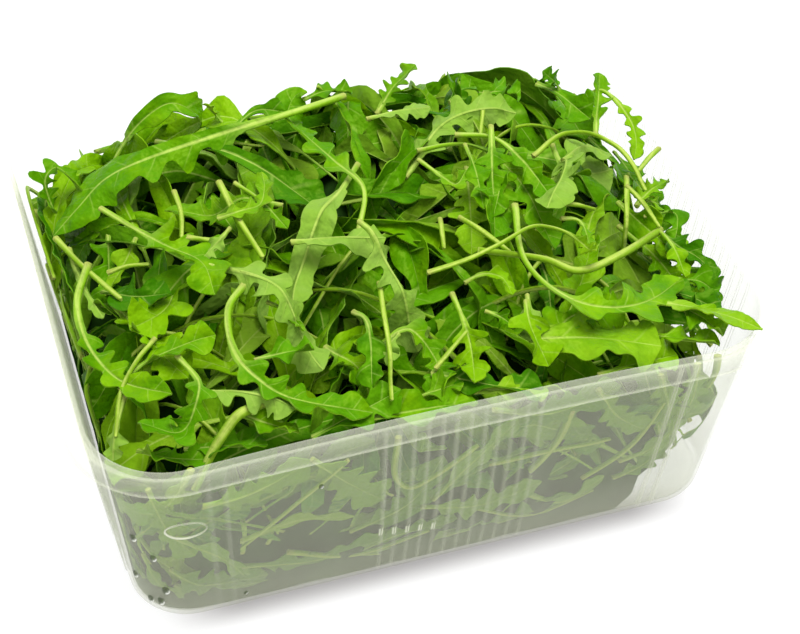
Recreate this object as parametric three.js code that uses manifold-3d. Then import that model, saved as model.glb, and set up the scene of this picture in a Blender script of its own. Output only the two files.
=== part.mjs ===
// Loose arugula leaves heaped in a clear ribbed tub. Millimetres, +Z up.
// The origin is the middle of the tub's foot, +X runs along the long side, -Y is the front.
import * as THREE from 'three';
import Module from 'manifold-3d';

const wasm = await Module();
wasm.setup();

// Tub
const MOUTH_X = 200;
const MOUTH_Y = 167;
const MOUTH_RADIUS = 27;
const TUB_HEIGHT = 75;
const TAPER = 9;
const WALL = 0.8;
const FOOT_FILLET = 3.5;
const FLANGE = 6;
const CREST_OUT = 3.6;
const CREST_UP = 0.4;
const SKIRT = 4;
const CORNER_STEPS = 7;

// Ribs on the tub's outside
const RIB_WIDTH = 1.7;
const RIB_STAND = 0.8;
const RIB_SINK = 0.4;
const RIB_LOW = 6;
const RIB_HIGH = 67;
const LONG_PITCH = 4.15;
const LONG_COUNT = 13;
const PAIR_AT = 67.5;
const PAIR_PITCH = 5;
const SHORT_PITCH = 4.4;
const SHORT_COUNT = 27;

// Heap of leaves
const HEAP_EDGE = 58;
const HEAP_RISE = 20;
const HEAP_RIGHT_DROP = 14;
const HEAP_BACK_DROP = 18;
const HEAP_TILT = 7;
const CORE_BELOW = 11;
const CORE_INSET = 5;
const CORE_FOOT = 1.4;
const CORE_SHOULDER = 37;
const CORNER_HOLLOW = 16;
const SEED = 4;
const WALL_CLEARANCE = 1.2;
const MOUND_COLUMNS = 6;
const MOUND_ROWS = 4;
const COLUMN_PITCH = 27;
const ROW_PITCH = 37;
const SCATTER = 6;
const FOOT_SUNK = 14;
const TIP_SUNK = 3;
const WALL_LEAVES = 20;
const WALL_GAP = 3.2;
const FOOT_TURNED_IN = 8;
const TIP_TURNED_IN = 7;
const WALL_WAVE = 0.9;
const WAVES = 9;

// One leaf
const BLADE = 0.7;
const STALK_RADIUS = 1.5;
const STALK_STEP = 11;
const LOBED_PART = 0.55;
const END_LOBE_AT = 0.77;
const END_LOBE_LONG = 0.26;
const LOBE_SWEEP = 0.3;

// Settling of the top leaves on what lies below them
const CELL = 1.2;
const GAP = 0.6;
const SAMPLE = 0.9;
const EASE_ROUNDS = 2;

const SHORT_EDGE = 0.06;
const TWIN_STEP = 0.05;

const COLOURS = { green: 0x4f8f2a, dark: 0x2f6420, pale: 0x8fae62, lime: 0x8fbf3a, stalk: 0xb5cc7a };

// A small seeded generator, so that the heap is the same each time.
function seeded(seed) {
  let state = seed;
  return (low, high) => {
    state = (Math.imul(state, 1664525) + 1013904223) >>> 0;
    return low + ((high - low) * state) / 4294967296;
  };
}

const Z_AXIS = new THREE.Vector3(0, 0, 1);

// Closed bodies

function bodyVolume(points, faces) {
  let sum = 0;
  for (const [a, b, c] of faces) {
    sum += points[a].dot(points[b].clone().cross(points[c])) / 6;
  }
  return sum;
}

// Rings of equally many points, joined into one skin and closed at both ends. A one-point ring is a
// tip. The two faces of a thin blade are split along alike diagonals: mirrored names those spans.
function skin(rings, mirrored = []) {
  const points = rings.flat();
  const faces = [];
  const starts = [];
  let next = 0;
  for (const ring of rings) {
    starts.push(next);
    next += ring.length;
  }
  for (let i = 0; i + 1 < rings.length; i++) {
    const [near, far] = [rings[i].length, rings[i + 1].length];
    const count = Math.max(near, far);
    for (let j = 0; j < count; j++) {
      const k = (j + 1) % count;
      const a = starts[i] + (near > 1 ? j : 0);
      const b = starts[i] + (near > 1 ? k : 0);
      const c = starts[i + 1] + (far > 1 ? k : 0);
      const d = starts[i + 1] + (far > 1 ? j : 0);
      const pair = mirrored.includes(j) ? [[a, b, d], [b, c, d]] : [[a, b, c], [a, c, d]];
      for (const face of pair) {
        if (new Set(face).size === 3) {
          faces.push(face);
        }
      }
    }
  }
  for (const i of [0, rings.length - 1]) {
    for (let j = 1; j + 1 < rings[i].length; j++) {
      const face = [starts[i], starts[i] + j, starts[i] + j + 1];
      faces.push(i === 0 ? face.reverse() : face);
    }
  }
  if (bodyVolume(points, faces) < 0) {
    faces.forEach((face) => face.reverse());
  }
  return { points, faces };
}

function toGeometry({ points, faces }) {
  const geometry = new THREE.BufferGeometry();
  geometry.setFromPoints(points);
  geometry.setIndex(faces.flat());
  geometry.computeVertexNormals();
  return geometry;
}

function toSolid({ points, faces }) {
  const vertProperties = new Float32Array(points.flatMap((p) => [p.x, p.y, p.z]));
  const triVerts = new Uint32Array(faces.flat());
  return new wasm.Manifold(new wasm.Mesh({ numProp: 3, vertProperties, triVerts }));
}

// The outer shell of a joined solid: pockets shut in between crossing leaves are filled, and the
// very short edges that the joins leave are drawn together.
function outerShell(solid) {
  const mesh = solid.getMesh();
  const points = [];
  for (let i = 0; i < mesh.vertProperties.length; i += mesh.numProp) {
    points.push(new THREE.Vector3(...mesh.vertProperties.slice(i, i + 3)));
  }
  const faces = [];
  for (let i = 0; i < mesh.triVerts.length; i += 3) {
    faces.push([...mesh.triVerts.slice(i, i + 3)]);
  }
  const shells = groups(points.length, faces.flatMap(([a, b, c]) => [[a, b], [b, c]]));
  const sizes = new Map();
  for (const [a] of faces) {
    sizes.set(shells[a], (sizes.get(shells[a]) ?? 0) + 1);
  }
  const largest = [...sizes].sort((a, b) => b[1] - a[1])[0][0];
  const outer = faces.filter(([a]) => shells[a] === largest);
  const edges = outer.flatMap(([a, b, c]) => [[a, b], [b, c], [c, a]]);
  const short = edges.filter(([a, b]) => points[a].distanceTo(points[b]) < SHORT_EDGE);
  const joined = groups(points.length, short);
  const kept = outer.map((face) => face.map((i) => joined[i])).filter((f) => new Set(f).size === 3);
  const used = [...new Set(kept.flat())].sort((a, b) => a - b);
  const renumber = new Map(used.map((old, i) => [old, i]));
  const body = {
    points: used.map((old) => points[old]),
    faces: kept.map((face) => face.map((old) => renumber.get(old))),
  };
  return partTwins(body);
}

// Where two edges of a body touch, their ends are twins in one place: each is drawn inwards a little.
function partTwins({ points, faces }) {
  const inwards = points.map(() => new THREE.Vector3());
  for (const [a, b, c] of faces) {
    const side = points[b].clone().sub(points[a]);
    const normal = side.cross(points[c].clone().sub(points[a])).normalize();
    for (const i of [a, b, c]) {
      inwards[i].sub(normal);
    }
  }
  const places = points.map((p) => p.toArray().map((v) => v.toFixed(2)).join(' '));
  const crowd = new Map();
  for (const place of places) {
    crowd.set(place, (crowd.get(place) ?? 0) + 1);
  }
  const parted = points.map((p, i) => (
    crowd.get(places[i]) > 1 ? p.clone().addScaledVector(inwards[i].normalize(), TWIN_STEP) : p
  ));
  return { points: parted, faces };
}

// For each of count items, the first item of the group that the links join it to.
function groups(count, links) {
  const parent = Array.from({ length: count }, (_, i) => i);
  const first = (i) => {
    while (parent[i] !== i) {
      parent[i] = parent[parent[i]];
      i = parent[i];
    }
    return i;
  };
  for (const [a, b] of links) {
    const [low, high] = [first(a), first(b)].sort((p, q) => p - q);
    parent[high] = low;
  }
  return parent.map((_, i) => first(i));
}

// Tub

function cornerRadius(grow) {
  return MOUTH_RADIUS + (grow > 0 ? grow : Math.max(0.25 * grow, 6 - MOUTH_RADIUS));
}

// Rounded-rectangle outline, the mouth grown outwards by grow or shrunk where grow is negative.
function outline(grow, z, steps) {
  const radius = cornerRadius(grow);
  const halfX = MOUTH_X / 2 + grow - radius;
  const halfY = MOUTH_Y / 2 + grow - radius;
  const points = [];
  for (let corner = 0; corner < 4; corner++) {
    const signX = corner === 0 || corner === 3 ? 1 : -1;
    const signY = corner < 2 ? 1 : -1;
    for (let i = 0; i <= steps; i++) {
      const angle = ((corner + i / steps) * Math.PI) / 2;
      const x = signX * halfX + radius * Math.cos(angle);
      const y = signY * halfY + radius * Math.sin(angle);
      points.push(new THREE.Vector3(x, y, z));
    }
  }
  return points;
}

// How far the inner wall stands in from the mouth at height z.
function lean(z) {
  return TAPER * (1 - z / TUB_HEIGHT);
}

function tubBody() {
  const under = TUB_HEIGHT - WALL;
  const skirtFoot = TUB_HEIGHT - SKIRT;
  const profile = [
    [WALL - lean(0) - FOOT_FILLET, 0],
    [WALL - lean(0) - 0.3 * FOOT_FILLET, 0.3 * FOOT_FILLET],
    [WALL - lean(FOOT_FILLET), FOOT_FILLET],
    [WALL - lean(under), under],
    [FLANGE - WALL, under],
    [FLANGE - WALL, skirtFoot],
    [FLANGE, skirtFoot],
    [FLANGE, TUB_HEIGHT - 0.3],
    [CREST_OUT, TUB_HEIGHT + CREST_UP],
    [0, TUB_HEIGHT],
    [-lean(FOOT_FILLET + WALL), FOOT_FILLET + WALL],
    [-lean(WALL) - 0.3 * FOOT_FILLET, WALL + 0.3 * FOOT_FILLET],
    [-lean(WALL) - FOOT_FILLET, WALL],
  ];
  const rings = profile.map(([grow, z]) => outline(grow, z, CORNER_STEPS));
  const foot = [new THREE.Vector3(0, 0, 0)];
  const floor = [new THREE.Vector3(0, 0, WALL)];
  return skin([foot, ...rings, floor]);
}

// A rib is a three-sided ridge that runs up the wall. Along is its place on the wall, side turns it.
function ribBody(along, side) {
  const halfAcross = side % 2 === 0 ? MOUTH_Y / 2 : MOUTH_X / 2;
  const turn = (side * Math.PI) / 2;
  const ring = (z) => {
    const face = -(halfAcross + WALL - lean(z));
    const corners = [
      [along - RIB_WIDTH / 2, face + RIB_SINK],
      [along, face - RIB_STAND],
      [along + RIB_WIDTH / 2, face + RIB_SINK],
    ];
    return corners.map(([x, y]) => new THREE.Vector3(x, y, z).applyAxisAngle(Z_AXIS, turn));
  };
  return skin([ring(RIB_LOW), ring(RIB_HIGH)]);
}

function ribPlaces(side) {
  const places = [];
  const long = side % 2 === 0;
  const count = long ? LONG_COUNT : SHORT_COUNT;
  const pitch = long ? LONG_PITCH : SHORT_PITCH;
  for (let i = 0; i < count; i++) {
    places.push((i - (count - 1) / 2) * pitch);
  }
  if (long) {
    places.push(-PAIR_AT - PAIR_PITCH, -PAIR_AT, PAIR_AT, PAIR_AT + PAIR_PITCH);
  }
  return places;
}

function ribbedTub() {
  let solid = toSolid(tubBody());
  for (let side = 0; side < 4; side++) {
    for (const along of ribPlaces(side)) {
      solid = solid.add(toSolid(ribBody(along, side)));
    }
  }
  return outerShell(solid);
}

// A place beside the wall: c runs round the mouth from the middle of the front, rightwards, z is its
// height and depth is its distance in from the wall. The corners are tighter towards the foot.
function wallPlace(c, z, depth) {
  const flats = [MOUTH_X - 2 * MOUTH_RADIUS, MOUTH_Y - 2 * MOUTH_RADIUS];
  const quarter = (Math.PI / 2) * MOUTH_RADIUS;
  const whole = 2 * (flats[0] + flats[1]) + 4 * quarter;
  const radius = cornerRadius(-lean(z));
  const halves = [MOUTH_X / 2 - lean(z) - radius, MOUTH_Y / 2 - lean(z) - radius];
  let left = (((c + flats[0] / 2) % whole) + whole) % whole;
  for (let side = 0; side < 4; side++) {
    const [along, across] = [halves[side % 2], halves[(side + 1) % 2]];
    const turn = (side * Math.PI) / 2;
    const flat = flats[side % 2];
    if (left <= flat) {
      const x = (2 * left / flat - 1) * along;
      return new THREE.Vector3(x, depth - across - radius, z).applyAxisAngle(Z_AXIS, turn);
    }
    left -= flat;
    if (left <= quarter) {
      const angle = left / MOUTH_RADIUS;
      const x = along + (radius - depth) * Math.sin(angle);
      const y = -across - (radius - depth) * Math.cos(angle);
      return new THREE.Vector3(x, y, z).applyAxisAngle(Z_AXIS, turn);
    }
    left -= quarter;
  }
  return new THREE.Vector3(0, depth - MOUTH_Y / 2, z);
}

// How far a point lies inside the mouth's outline.
function insideMouth(x, y) {
  const overX = Math.abs(x) - (MOUTH_X / 2 - MOUTH_RADIUS);
  const overY = Math.abs(y) - (MOUTH_Y / 2 - MOUTH_RADIUS);
  const out = Math.hypot(Math.max(overX, 0), Math.max(overY, 0));
  return MOUTH_RADIUS - out - Math.min(Math.max(overX, overY), 0);
}

// Height of the heap: a mound that rises towards the back and falls off at the right and back walls.
function heapHeight(x, y) {
  const across = 1 - (x / 97) ** 4;
  const deep = 1 - (y / 82) ** 4;
  const right = HEAP_RIGHT_DROP * Math.max(0, (x - 45) / 50) ** 1.5;
  const back = HEAP_BACK_DROP * Math.max(0, (y - 45) / 35);
  const tilt = HEAP_TILT * THREE.MathUtils.clamp(y / 45, -1, 1);
  return HEAP_EDGE + HEAP_RISE * Math.max(0, across) * Math.max(0, deep) + tilt - right - back;
}

// Leaves

// Half of the leaf's width at fraction s of its length: a stalk, side lobes, then the end lobe.
function halfWidth(leaf, s) {
  const q = (s - leaf.stalk) / (1 - leaf.stalk);
  const rib = STALK_RADIUS * (1 - 0.45 * Math.max(0, q));
  if (q <= 0 || leaf.half <= STALK_RADIUS) {
    return rib;
  }
  const end = Math.sqrt(Math.max(0, 1 - ((q - END_LOBE_AT) / END_LOBE_LONG) ** 2));
  const wave = Math.abs(Math.sin((Math.PI * leaf.lobes * q) / LOBED_PART));
  const side = q < LOBED_PART ? (0.5 + 0.75 * q) * (0.25 + 0.75 * wave) : 0.3;
  const taper = q > END_LOBE_AT ? end : Math.max(end, side);
  return Math.max(rib, leaf.half * taper);
}

// The fractions of the length where the leaf has a section: along the stalk, at each side lobe and
// the notch after it, and round the end lobe.
function stations(leaf, length) {
  const list = [];
  const steps = Math.max(1, Math.round((leaf.stalk * length) / STALK_STEP));
  for (let i = 0; i < steps; i++) {
    list.push((leaf.stalk * i) / steps);
  }
  const blade = (q) => leaf.stalk + (1 - leaf.stalk) * q;
  for (let i = 0; i <= 2 * leaf.lobes; i++) {
    list.push(blade(i ? (LOBED_PART * i) / (2 * leaf.lobes) : 0));
  }
  for (const q of [0.65, END_LOBE_AT, 0.9, 1]) {
    list.push(blade(q));
  }
  return list;
}

// A section has six corners: left, middle and right above, then right, middle and left below. Each is
// [across, along, up] from the midrib. The blade is tilted about the midrib and cupped.
function section(leaf, s) {
  const half = halfWidth(leaf, s);
  const q = Math.max(0, (s - leaf.stalk) / (1 - leaf.stalk));
  const broad = Math.min(1, (half - STALK_RADIUS) / STALK_RADIUS);
  const edge = THREE.MathUtils.lerp(0.5 * STALK_RADIUS, BLADE / 2, Math.max(0, broad));
  const rib = Math.max(BLADE / 2 + 0.1, STALK_RADIUS * (1 - 0.7 * q));
  const lift = broad > 0 ? leaf.cup * half : 0;
  const sweep = broad > 0 ? LOBE_SWEEP * half * (1 - q) : 0;
  const tilt = THREE.MathUtils.degToRad(leaf.tilt * Math.max(0, broad));
  const corners = [
    [-half, sweep, lift + edge], [0, 0, rib], [half, sweep, lift + edge],
    [half, sweep, lift - edge], [0, 0, -rib], [-half, sweep, lift - edge],
  ];
  return corners.map(([across, along, up]) => [
    across * Math.cos(tilt) - up * Math.sin(tilt),
    along,
    across * Math.sin(tilt) + up * Math.cos(tilt),
  ]);
}

// The leaf laid out flat along its route: for each station the midrib's place and its six corners.
function layOut(leaf) {
  const route = leaf.route.map(([x, y]) => new THREE.Vector3(x, y, 0));
  const curve = new THREE.CatmullRomCurve3(route, false, 'catmullrom', 0.5);
  const length = curve.getLength();
  return stations(leaf, length).map((s) => {
    const place = curve.getPointAt(s);
    const ahead = curve.getTangentAt(s);
    const corners = section(leaf, s).map(([across, along, up]) => [
      place.x + ahead.x * along + ahead.y * across,
      place.y + ahead.y * along - ahead.x * across,
      up,
    ]);
    return { s, place, corners };
  });
}

// The height map of everything that a further leaf would lie on.
const MAP_X = MOUTH_X / 2 + FLANGE + 4;
const MAP_Y = MOUTH_Y / 2 + FLANGE + 4;
const COLUMNS = Math.ceil((2 * MAP_X) / CELL);
const ROWS = Math.ceil((2 * MAP_Y) / CELL);
const heightMap = new Float64Array(COLUMNS * ROWS);

function cellOf(x, y) {
  return [Math.floor((x + MAP_X) / CELL), Math.floor((y + MAP_Y) / CELL)];
}

// The empty tub: its wall rises steeply, and its rim is level.
function mapTub() {
  for (let row = 0; row < ROWS; row++) {
    for (let column = 0; column < COLUMNS; column++) {
      const inside = insideMouth((column + 0.5) * CELL - MAP_X, (row + 0.5) * CELL - MAP_Y);
      const wall = TUB_HEIGHT * (1 - inside / TAPER);
      const rim = TUB_HEIGHT + CREST_UP;
      heightMap[row * COLUMNS + column] = Math.max(0, inside < 1 ? rim : wall);
    }
  }
}

function mapBody({ points, faces }) {
  for (const [a, b, c] of faces.map((face) => face.map((i) => points[i]))) {
    const steps = Math.ceil(Math.max(a.distanceTo(b), b.distanceTo(c), c.distanceTo(a)) / SAMPLE);
    for (let i = 0; i <= steps; i++) {
      for (let j = 0; j <= steps - i; j++) {
        const [u, v] = [i / steps, j / steps];
        const w = 1 - u - v;
        const [column, row] = cellOf(u * a.x + v * b.x + w * c.x, u * a.y + v * b.y + w * c.y);
        const at = row * COLUMNS + column;
        heightMap[at] = Math.max(heightMap[at], u * a.z + v * b.z + w * c.z);
      }
    }
  }
}

function groundAt(x, y) {
  const [column, row] = cellOf(x, y);
  let height = 0;
  for (let r = row - 1; r <= row + 1; r++) {
    for (let c = column - 1; c <= column + 1; c++) {
      height = Math.max(height, heightMap[r * COLUMNS + c]);
    }
  }
  return height;
}

// The least height of each station that keeps the leaf's underside clear of the height map.
function clearHeights(laid) {
  const least = laid.map(() => 0);
  for (let i = 0; i + 1 < laid.length; i++) {
    const [near, far] = [laid[i].corners, laid[i + 1].corners];
    const steps = Math.ceil(laid[i].place.distanceTo(laid[i + 1].place) / SAMPLE) + 1;
    for (let k = 0; k <= steps; k++) {
      const t = k / steps;
      const line = near.map((corner, n) => corner.map((v, axis) => v + t * (far[n][axis] - v)));
      for (const [from, to] of [[line[3], line[4]], [line[4], line[5]]]) {
        const spans = Math.ceil(Math.hypot(to[0] - from[0], to[1] - from[1]) / SAMPLE) + 1;
        for (let m = 0; m <= spans; m++) {
          const [x, y, up] = from.map((v, axis) => v + (m / spans) * (to[axis] - v));
          const need = groundAt(x, y) + GAP - up;
          least[i] = t < 0.75 ? Math.max(least[i], need) : least[i];
          least[i + 1] = t > 0.25 ? Math.max(least[i + 1], need) : least[i + 1];
        }
      }
    }
  }
  return least;
}

// A leaf is stiff: it bridges hollows, arches by its lift, and may hold its tip up.
function settle(leaf, laid) {
  const least = clearHeights(laid);
  let heights = [...least];
  for (let round = 0; round < EASE_ROUNDS; round++) {
    heights = heights.map((height, i) => {
      const before = heights[i - 1] ?? heights[i + 1];
      const after = heights[i + 1] ?? heights[i - 1];
      return Math.max(least[i], 0.5 * height + 0.25 * (before + after));
    });
  }
  return heights.map((height, i) => {
    const s = laid[i].s;
    const arch = leaf.lift * Math.sin(Math.PI * s) ** 2;
    const tip = leaf.tip * Math.max(0, (s - 0.6) / 0.4) ** 2;
    return height + arch + tip;
  });
}

const PLAIN = { half: 9, stalk: 0.3, lobes: 2, cup: 0.15, tilt: 0, lift: 0, tip: 0 };

function topLeaf(plan) {
  const leaf = { ...PLAIN, ...plan };
  const laid = layOut(leaf);
  const heights = settle(leaf, laid);
  const rings = laid.map(({ corners }, i) => (
    corners.map(([x, y, up]) => new THREE.Vector3(x, y, heights[i] + up))
  ));
  const body = skin(rings, [3, 4]);
  mapBody(body);
  return body;
}

// The packed leaves below the top ones: a core, with leaves standing out of it at the top and along
// the walls.

function coreBody() {
  const levels = [[0, 10], [3, 7], [18, CORE_INSET], [CORE_SHOULDER, CORE_INSET]];
  const rings = levels.map(([up, inset]) => hollowed(-lean(up) - inset, CORE_FOOT + up));
  for (const inset of [11, 20, 34, 50, 68]) {
    const below = CORE_BELOW + Math.max(0, 18 - inset);
    const ring = outline(-inset, 0, 5);
    rings.push(ring.map((p) => new THREE.Vector3(p.x, p.y, heapHeight(p.x, p.y) - below)));
  }
  const top = new THREE.Vector3(0, 0, heapHeight(0, 0) - CORE_BELOW);
  return skin([...rings, [top]]);
}

// The leaves leave the tub's lower front right corner empty.
function hollowed(grow, z) {
  return outline(grow, z, 5).map((p) => {
    const towards = THREE.MathUtils.clamp((p.x - p.y - 60) / 70, 0, 1);
    const pull = (CORNER_HOLLOW / 80) * towards * Math.max(0, 1 - z / 50);
    return new THREE.Vector3(p.x * (1 - pull), p.y * (1 - pull), p.z);
  });
}

// A leaf of the mound's top near (x, y), its foot sunk into the core. It is turned until it fits.
function moundLeaf(random, x, y) {
  const look = { half: random(11, 15), stalk: 0.15, lobes: 1, tilt: random(-25, 25) };
  const below = random(0, 4);
  let rings = [];
  let clearance = 0;
  while (clearance < WALL_CLEARANCE) {
    const length = random(44, 80);
    const heading = random(0, 2 * Math.PI);
    const bend = random(-0.01, 0.01);
    const route = [-0.5, -0.17, 0.17, 0.5].map((t) => {
      const [ahead, aside] = [t * length, bend * (t * length) ** 2];
      return [
        x + ahead * Math.cos(heading) - aside * Math.sin(heading),
        y + ahead * Math.sin(heading) + aside * Math.cos(heading),
      ];
    });
    rings = layOut({ ...PLAIN, ...look, route }).map(({ s, place, corners }) => {
      const foot = FOOT_SUNK * Math.max(0, 1 - s / 0.35);
      const tip = TIP_SUNK * Math.max(0, (s - 0.8) / 0.2);
      const height = heapHeight(place.x, place.y) - below - foot - tip;
      return corners.map(([cx, cy, up]) => new THREE.Vector3(cx, cy, height + up));
    });
    clearance = Math.min(...rings.flat().map((p) => insideMouth(p.x, p.y) - lean(p.z)));
  }
  return skin(rings, [3, 4]);
}

// A leaf pressed against the wall. Its route is in the wall's own directions, round and up.
function wallLeaf(random, c) {
  const slant = random(-24, 24);
  const top = wallPlace(c + slant, TUB_HEIGHT, 0);
  const high = heapHeight(top.x, top.y) - random(-1, 6);
  const low = random(12, 26);
  const middle = random(-8, 8);
  const route = [[c, low], [c + middle + slant / 3, (low + high) / 2], [c + slant, high]];
  const leaf = { ...PLAIN, route, half: random(10, 13), stalk: 0.15, cup: 0 };
  const rings = layOut(leaf).map(({ s, corners }) => {
    const foot = FOOT_TURNED_IN * Math.max(0, 1 - s / 0.35);
    const tip = TIP_TURNED_IN * Math.max(0, (s - 0.6) / 0.4) ** 2;
    const depth = WALL_GAP + foot + tip + WALL_WAVE * Math.sin(WAVES * s + c);
    return corners.map(([round, up, stand]) => wallPlace(round, up, depth + stand));
  });
  return skin(rings, [3, 4]);
}

function packedLeaves() {
  const random = seeded(SEED);
  let solid = toSolid(coreBody());
  for (let i = 0; i < MOUND_COLUMNS * MOUND_ROWS; i++) {
    const column = (i % MOUND_COLUMNS) - (MOUND_COLUMNS - 1) / 2;
    const row = Math.floor(i / MOUND_COLUMNS) - (MOUND_ROWS - 1) / 2;
    const x = column * COLUMN_PITCH + random(-SCATTER, SCATTER);
    const y = row * ROW_PITCH + random(-SCATTER, SCATTER);
    solid = solid.add(toSolid(moundLeaf(random, x, y)));
  }
  const round = 2 * (MOUTH_X + MOUTH_Y) - (8 - 2 * Math.PI) * MOUTH_RADIUS;
  for (let i = 0; i < WALL_LEAVES; i++) {
    const c = (i * round) / WALL_LEAVES + random(-SCATTER, SCATTER);
    solid = solid.add(toSolid(wallLeaf(random, c)));
  }
  return outerShell(solid);
}

// The leaves and stalks on top, in the order in which they lie: each rests on those before it.
const STALK = { half: STALK_RADIUS, stalk: 0.7, lobes: 0, colour: 'stalk' };
const TOP = [
  { name: 'leaf_back_dark', colour: 'dark', half: 17, stalk: 0.2, lobes: 1,
    route: [[-56, 44], [-36, 26], [-14, -2]] },
  { name: 'leaf_back_fold', colour: 'dark', half: 10, stalk: 0.1, lobes: 1, tilt: 35,
    route: [[30, 14], [37, 28], [42, 42]] },
  { name: 'leaf_back_right', colour: 'dark', half: 13, stalk: 0.15,
    route: [[70, 58], [78, 44], [80, 22]] },
  { name: 'leaf_left_arc', colour: 'green', half: 7, stalk: 0.35,
    route: [[-84, 8], [-89, -10], [-88, -28], [-82, -46], [-66, -60]] },
  { name: 'leaf_left_fan', colour: 'green', half: 10, stalk: 0.15,
    route: [[-82, -12], [-76, -30], [-68, -48]] },
  { name: 'leaf_front_middle', colour: 'green', half: 9, stalk: 0.15,
    route: [[-27, -44], [-21, -58], [-20, -72]] },
  { name: 'leaf_grey_middle', colour: 'pale', half: 12, stalk: 0.2,
    route: [[13, 6], [30, 20], [54, 20]] },
  { name: 'leaf_right_curl', colour: 'dark', half: 8, stalk: 0.1, lobes: 1, tilt: 20,
    route: [[80, -24], [87, -38], [84, -52]] },
  { name: 'leaf_centre_lime', colour: 'lime', half: 8, stalk: 0.2, tilt: -20,
    route: [[33, 6], [28, -12], [23, -28]] },
  { name: 'leaf_left_middle', colour: 'green', half: 11, stalk: 0.2, lobes: 1,
    route: [[-60, -4], [-68, -22], [-80, -28]] },
  { name: 'leaf_right_grey', colour: 'pale', half: 11, stalk: 0.2,
    route: [[52, -6], [66, 4], [84, 8]] },
  { name: 'leaf_front_rim', colour: 'lime', half: 6, stalk: 0.2, lobes: 1, tilt: 25,
    route: [[8, -74], [22, -76], [36, -74]] },
  { name: 'leaf_left_lime', colour: 'lime', half: 8, stalk: 0.15,
    route: [[-28, -4], [-43, 5], [-60, 14]] },
  { name: 'leaf_corner_curl', colour: 'green', half: 6, stalk: 0.2, lobes: 3,
    route: [[-70, 32], [-80, 48], [-89, 43], [-91, 25]] },
  { name: 'leaf_back_arch', colour: 'green', half: 9, lift: 8,
    route: [[-76, 28], [-64, 48], [-52, 54], [-38, 42]] },
  { name: 'leaf_left_trail', colour: 'green', half: 11, stalk: 0.4,
    route: [[-78, 18], [-66, -4], [-58, -16], [-55, -36]] },
  { name: 'leaf_pale_under', colour: 'pale', half: 16, stalk: 0.2,
    route: [[0, 12], [-18, -10], [-30, -26], [-35, -38]] },
  { name: 'leaf_pale_flat', colour: 'pale', half: 11, stalk: 0.15,
    route: [[-34, -23], [-19, -29], [-3, -36]] },
  { name: 'leaf_right_edge', colour: 'green', half: 9, stalk: 0.25,
    route: [[76, -16], [84, -34], [86, -52]] },
  { name: 'leaf_right_lime', colour: 'lime', half: 8, stalk: 0.15, lobes: 1,
    route: [[72, -24], [81, -12], [90, -4]] },
  { name: 'leaf_right_upright', colour: 'green', half: 6, stalk: 0.2, tip: 10,
    route: [[80, 12], [84, 26], [86, 40]] },
  { name: 'leaf_right_curly', colour: 'green', half: 7, lift: 4,
    route: [[70, 38], [80, 36], [85, 24], [86, 4]] },
  { name: 'leaf_tooth_up', colour: 'lime', half: 6, stalk: 0.2, tip: 9,
    route: [[7, 26], [17, 37], [25, 47]] },
  { name: 'leaf_centre_arch', colour: 'green', half: 9, lift: 5,
    route: [[18, 10], [35, 7], [45, -9], [47, -34]] },
  { name: 'leaf_centre_hang', colour: 'green', half: 9, stalk: 0.2, tilt: 20,
    route: [[41, 8], [36, -8], [29, -30]] },
  { name: 'leaf_pale_wave', colour: 'pale', half: 9, stalk: 0.2, tilt: -25,
    route: [[64, 12], [60, -8], [46, -28]] },
  { name: 'leaf_midrib', colour: 'pale', half: 11, stalk: 0.2,
    route: [[-11, -24], [-5, -37], [-1, -52]] },
  { name: 'leaf_front_left_arc', colour: 'green', half: 9, stalk: 0.4,
    route: [[-45, -30], [-55, -48], [-52, -62], [-40, -71], [-18, -76]] },
  { name: 'leaf_serrated', colour: 'pale', half: 15, stalk: 0.2,
    route: [[-56, -16], [-41, -32], [-31, -57]] },
  { name: 'stalk_front_kinked', ...STALK, route: [[-50, -66], [-64, -70], [-74, -76]] },
  { name: 'leaf_front_grey', colour: 'pale', half: 8, stalk: 0.2, lobes: 1,
    route: [[-68, -57], [-56, -63], [-43, -71]] },
  { name: 'leaf_front_hook', colour: 'green', half: 8, stalk: 0.3,
    route: [[-70, -44], [-67, -58], [-74, -67], [-85, -60]] },
  { name: 'leaf_front_small_arc', colour: 'green', half: 8, stalk: 0.3,
    route: [[-16, -57], [-4, -51], [2, -60], [-2, -75]] },
  { name: 'leaf_front_drop', colour: 'green', half: 8, stalk: 0.35, lobes: 1,
    route: [[11, -44], [12, -60], [8, -75]] },
  { name: 'leaf_front_right_big', colour: 'lime', half: 11, stalk: 0.1,
    route: [[28, -67], [50, -70], [76, -66]] },
  { name: 'leaf_front_right_arch', colour: 'green', half: 10, stalk: 0.2, lobes: 1, lift: 3,
    route: [[33, -70], [42, -60], [60, -58]] },
  { name: 'leaf_corner_point', colour: 'lime', half: 9, stalk: 0.2,
    route: [[62, -44], [78, -60], [93, -74]] },
  { name: 'stalk_left_pale', ...STALK, route: [[-47, 10], [-43, -8], [-38, -30]] },
  { name: 'stalk_left_bright', ...STALK, route: [[-69, -34], [-80, -44], [-87, -56]] },
  { name: 'leaf_back_long', colour: 'green', half: 15, stalk: 0.3, lobes: 3, lift: 3,
    route: [[8, 42], [-26, 30], [-58, 29], [-78, 25], [-89, 13]] },
  { name: 'leaf_kinked', colour: 'green', half: 10, stalk: 0.45,
    route: [[-11, -28], [-5, -8], [-10, 14], [-15, 32], [-6, 46]] },
  { name: 'stalk_back_end', ...STALK, route: [[95, 8], [84, -4], [74, -12]] },
  { name: 'leaf_right_arc', colour: 'green', half: 10, stalk: 0.45, lift: 2,
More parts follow.
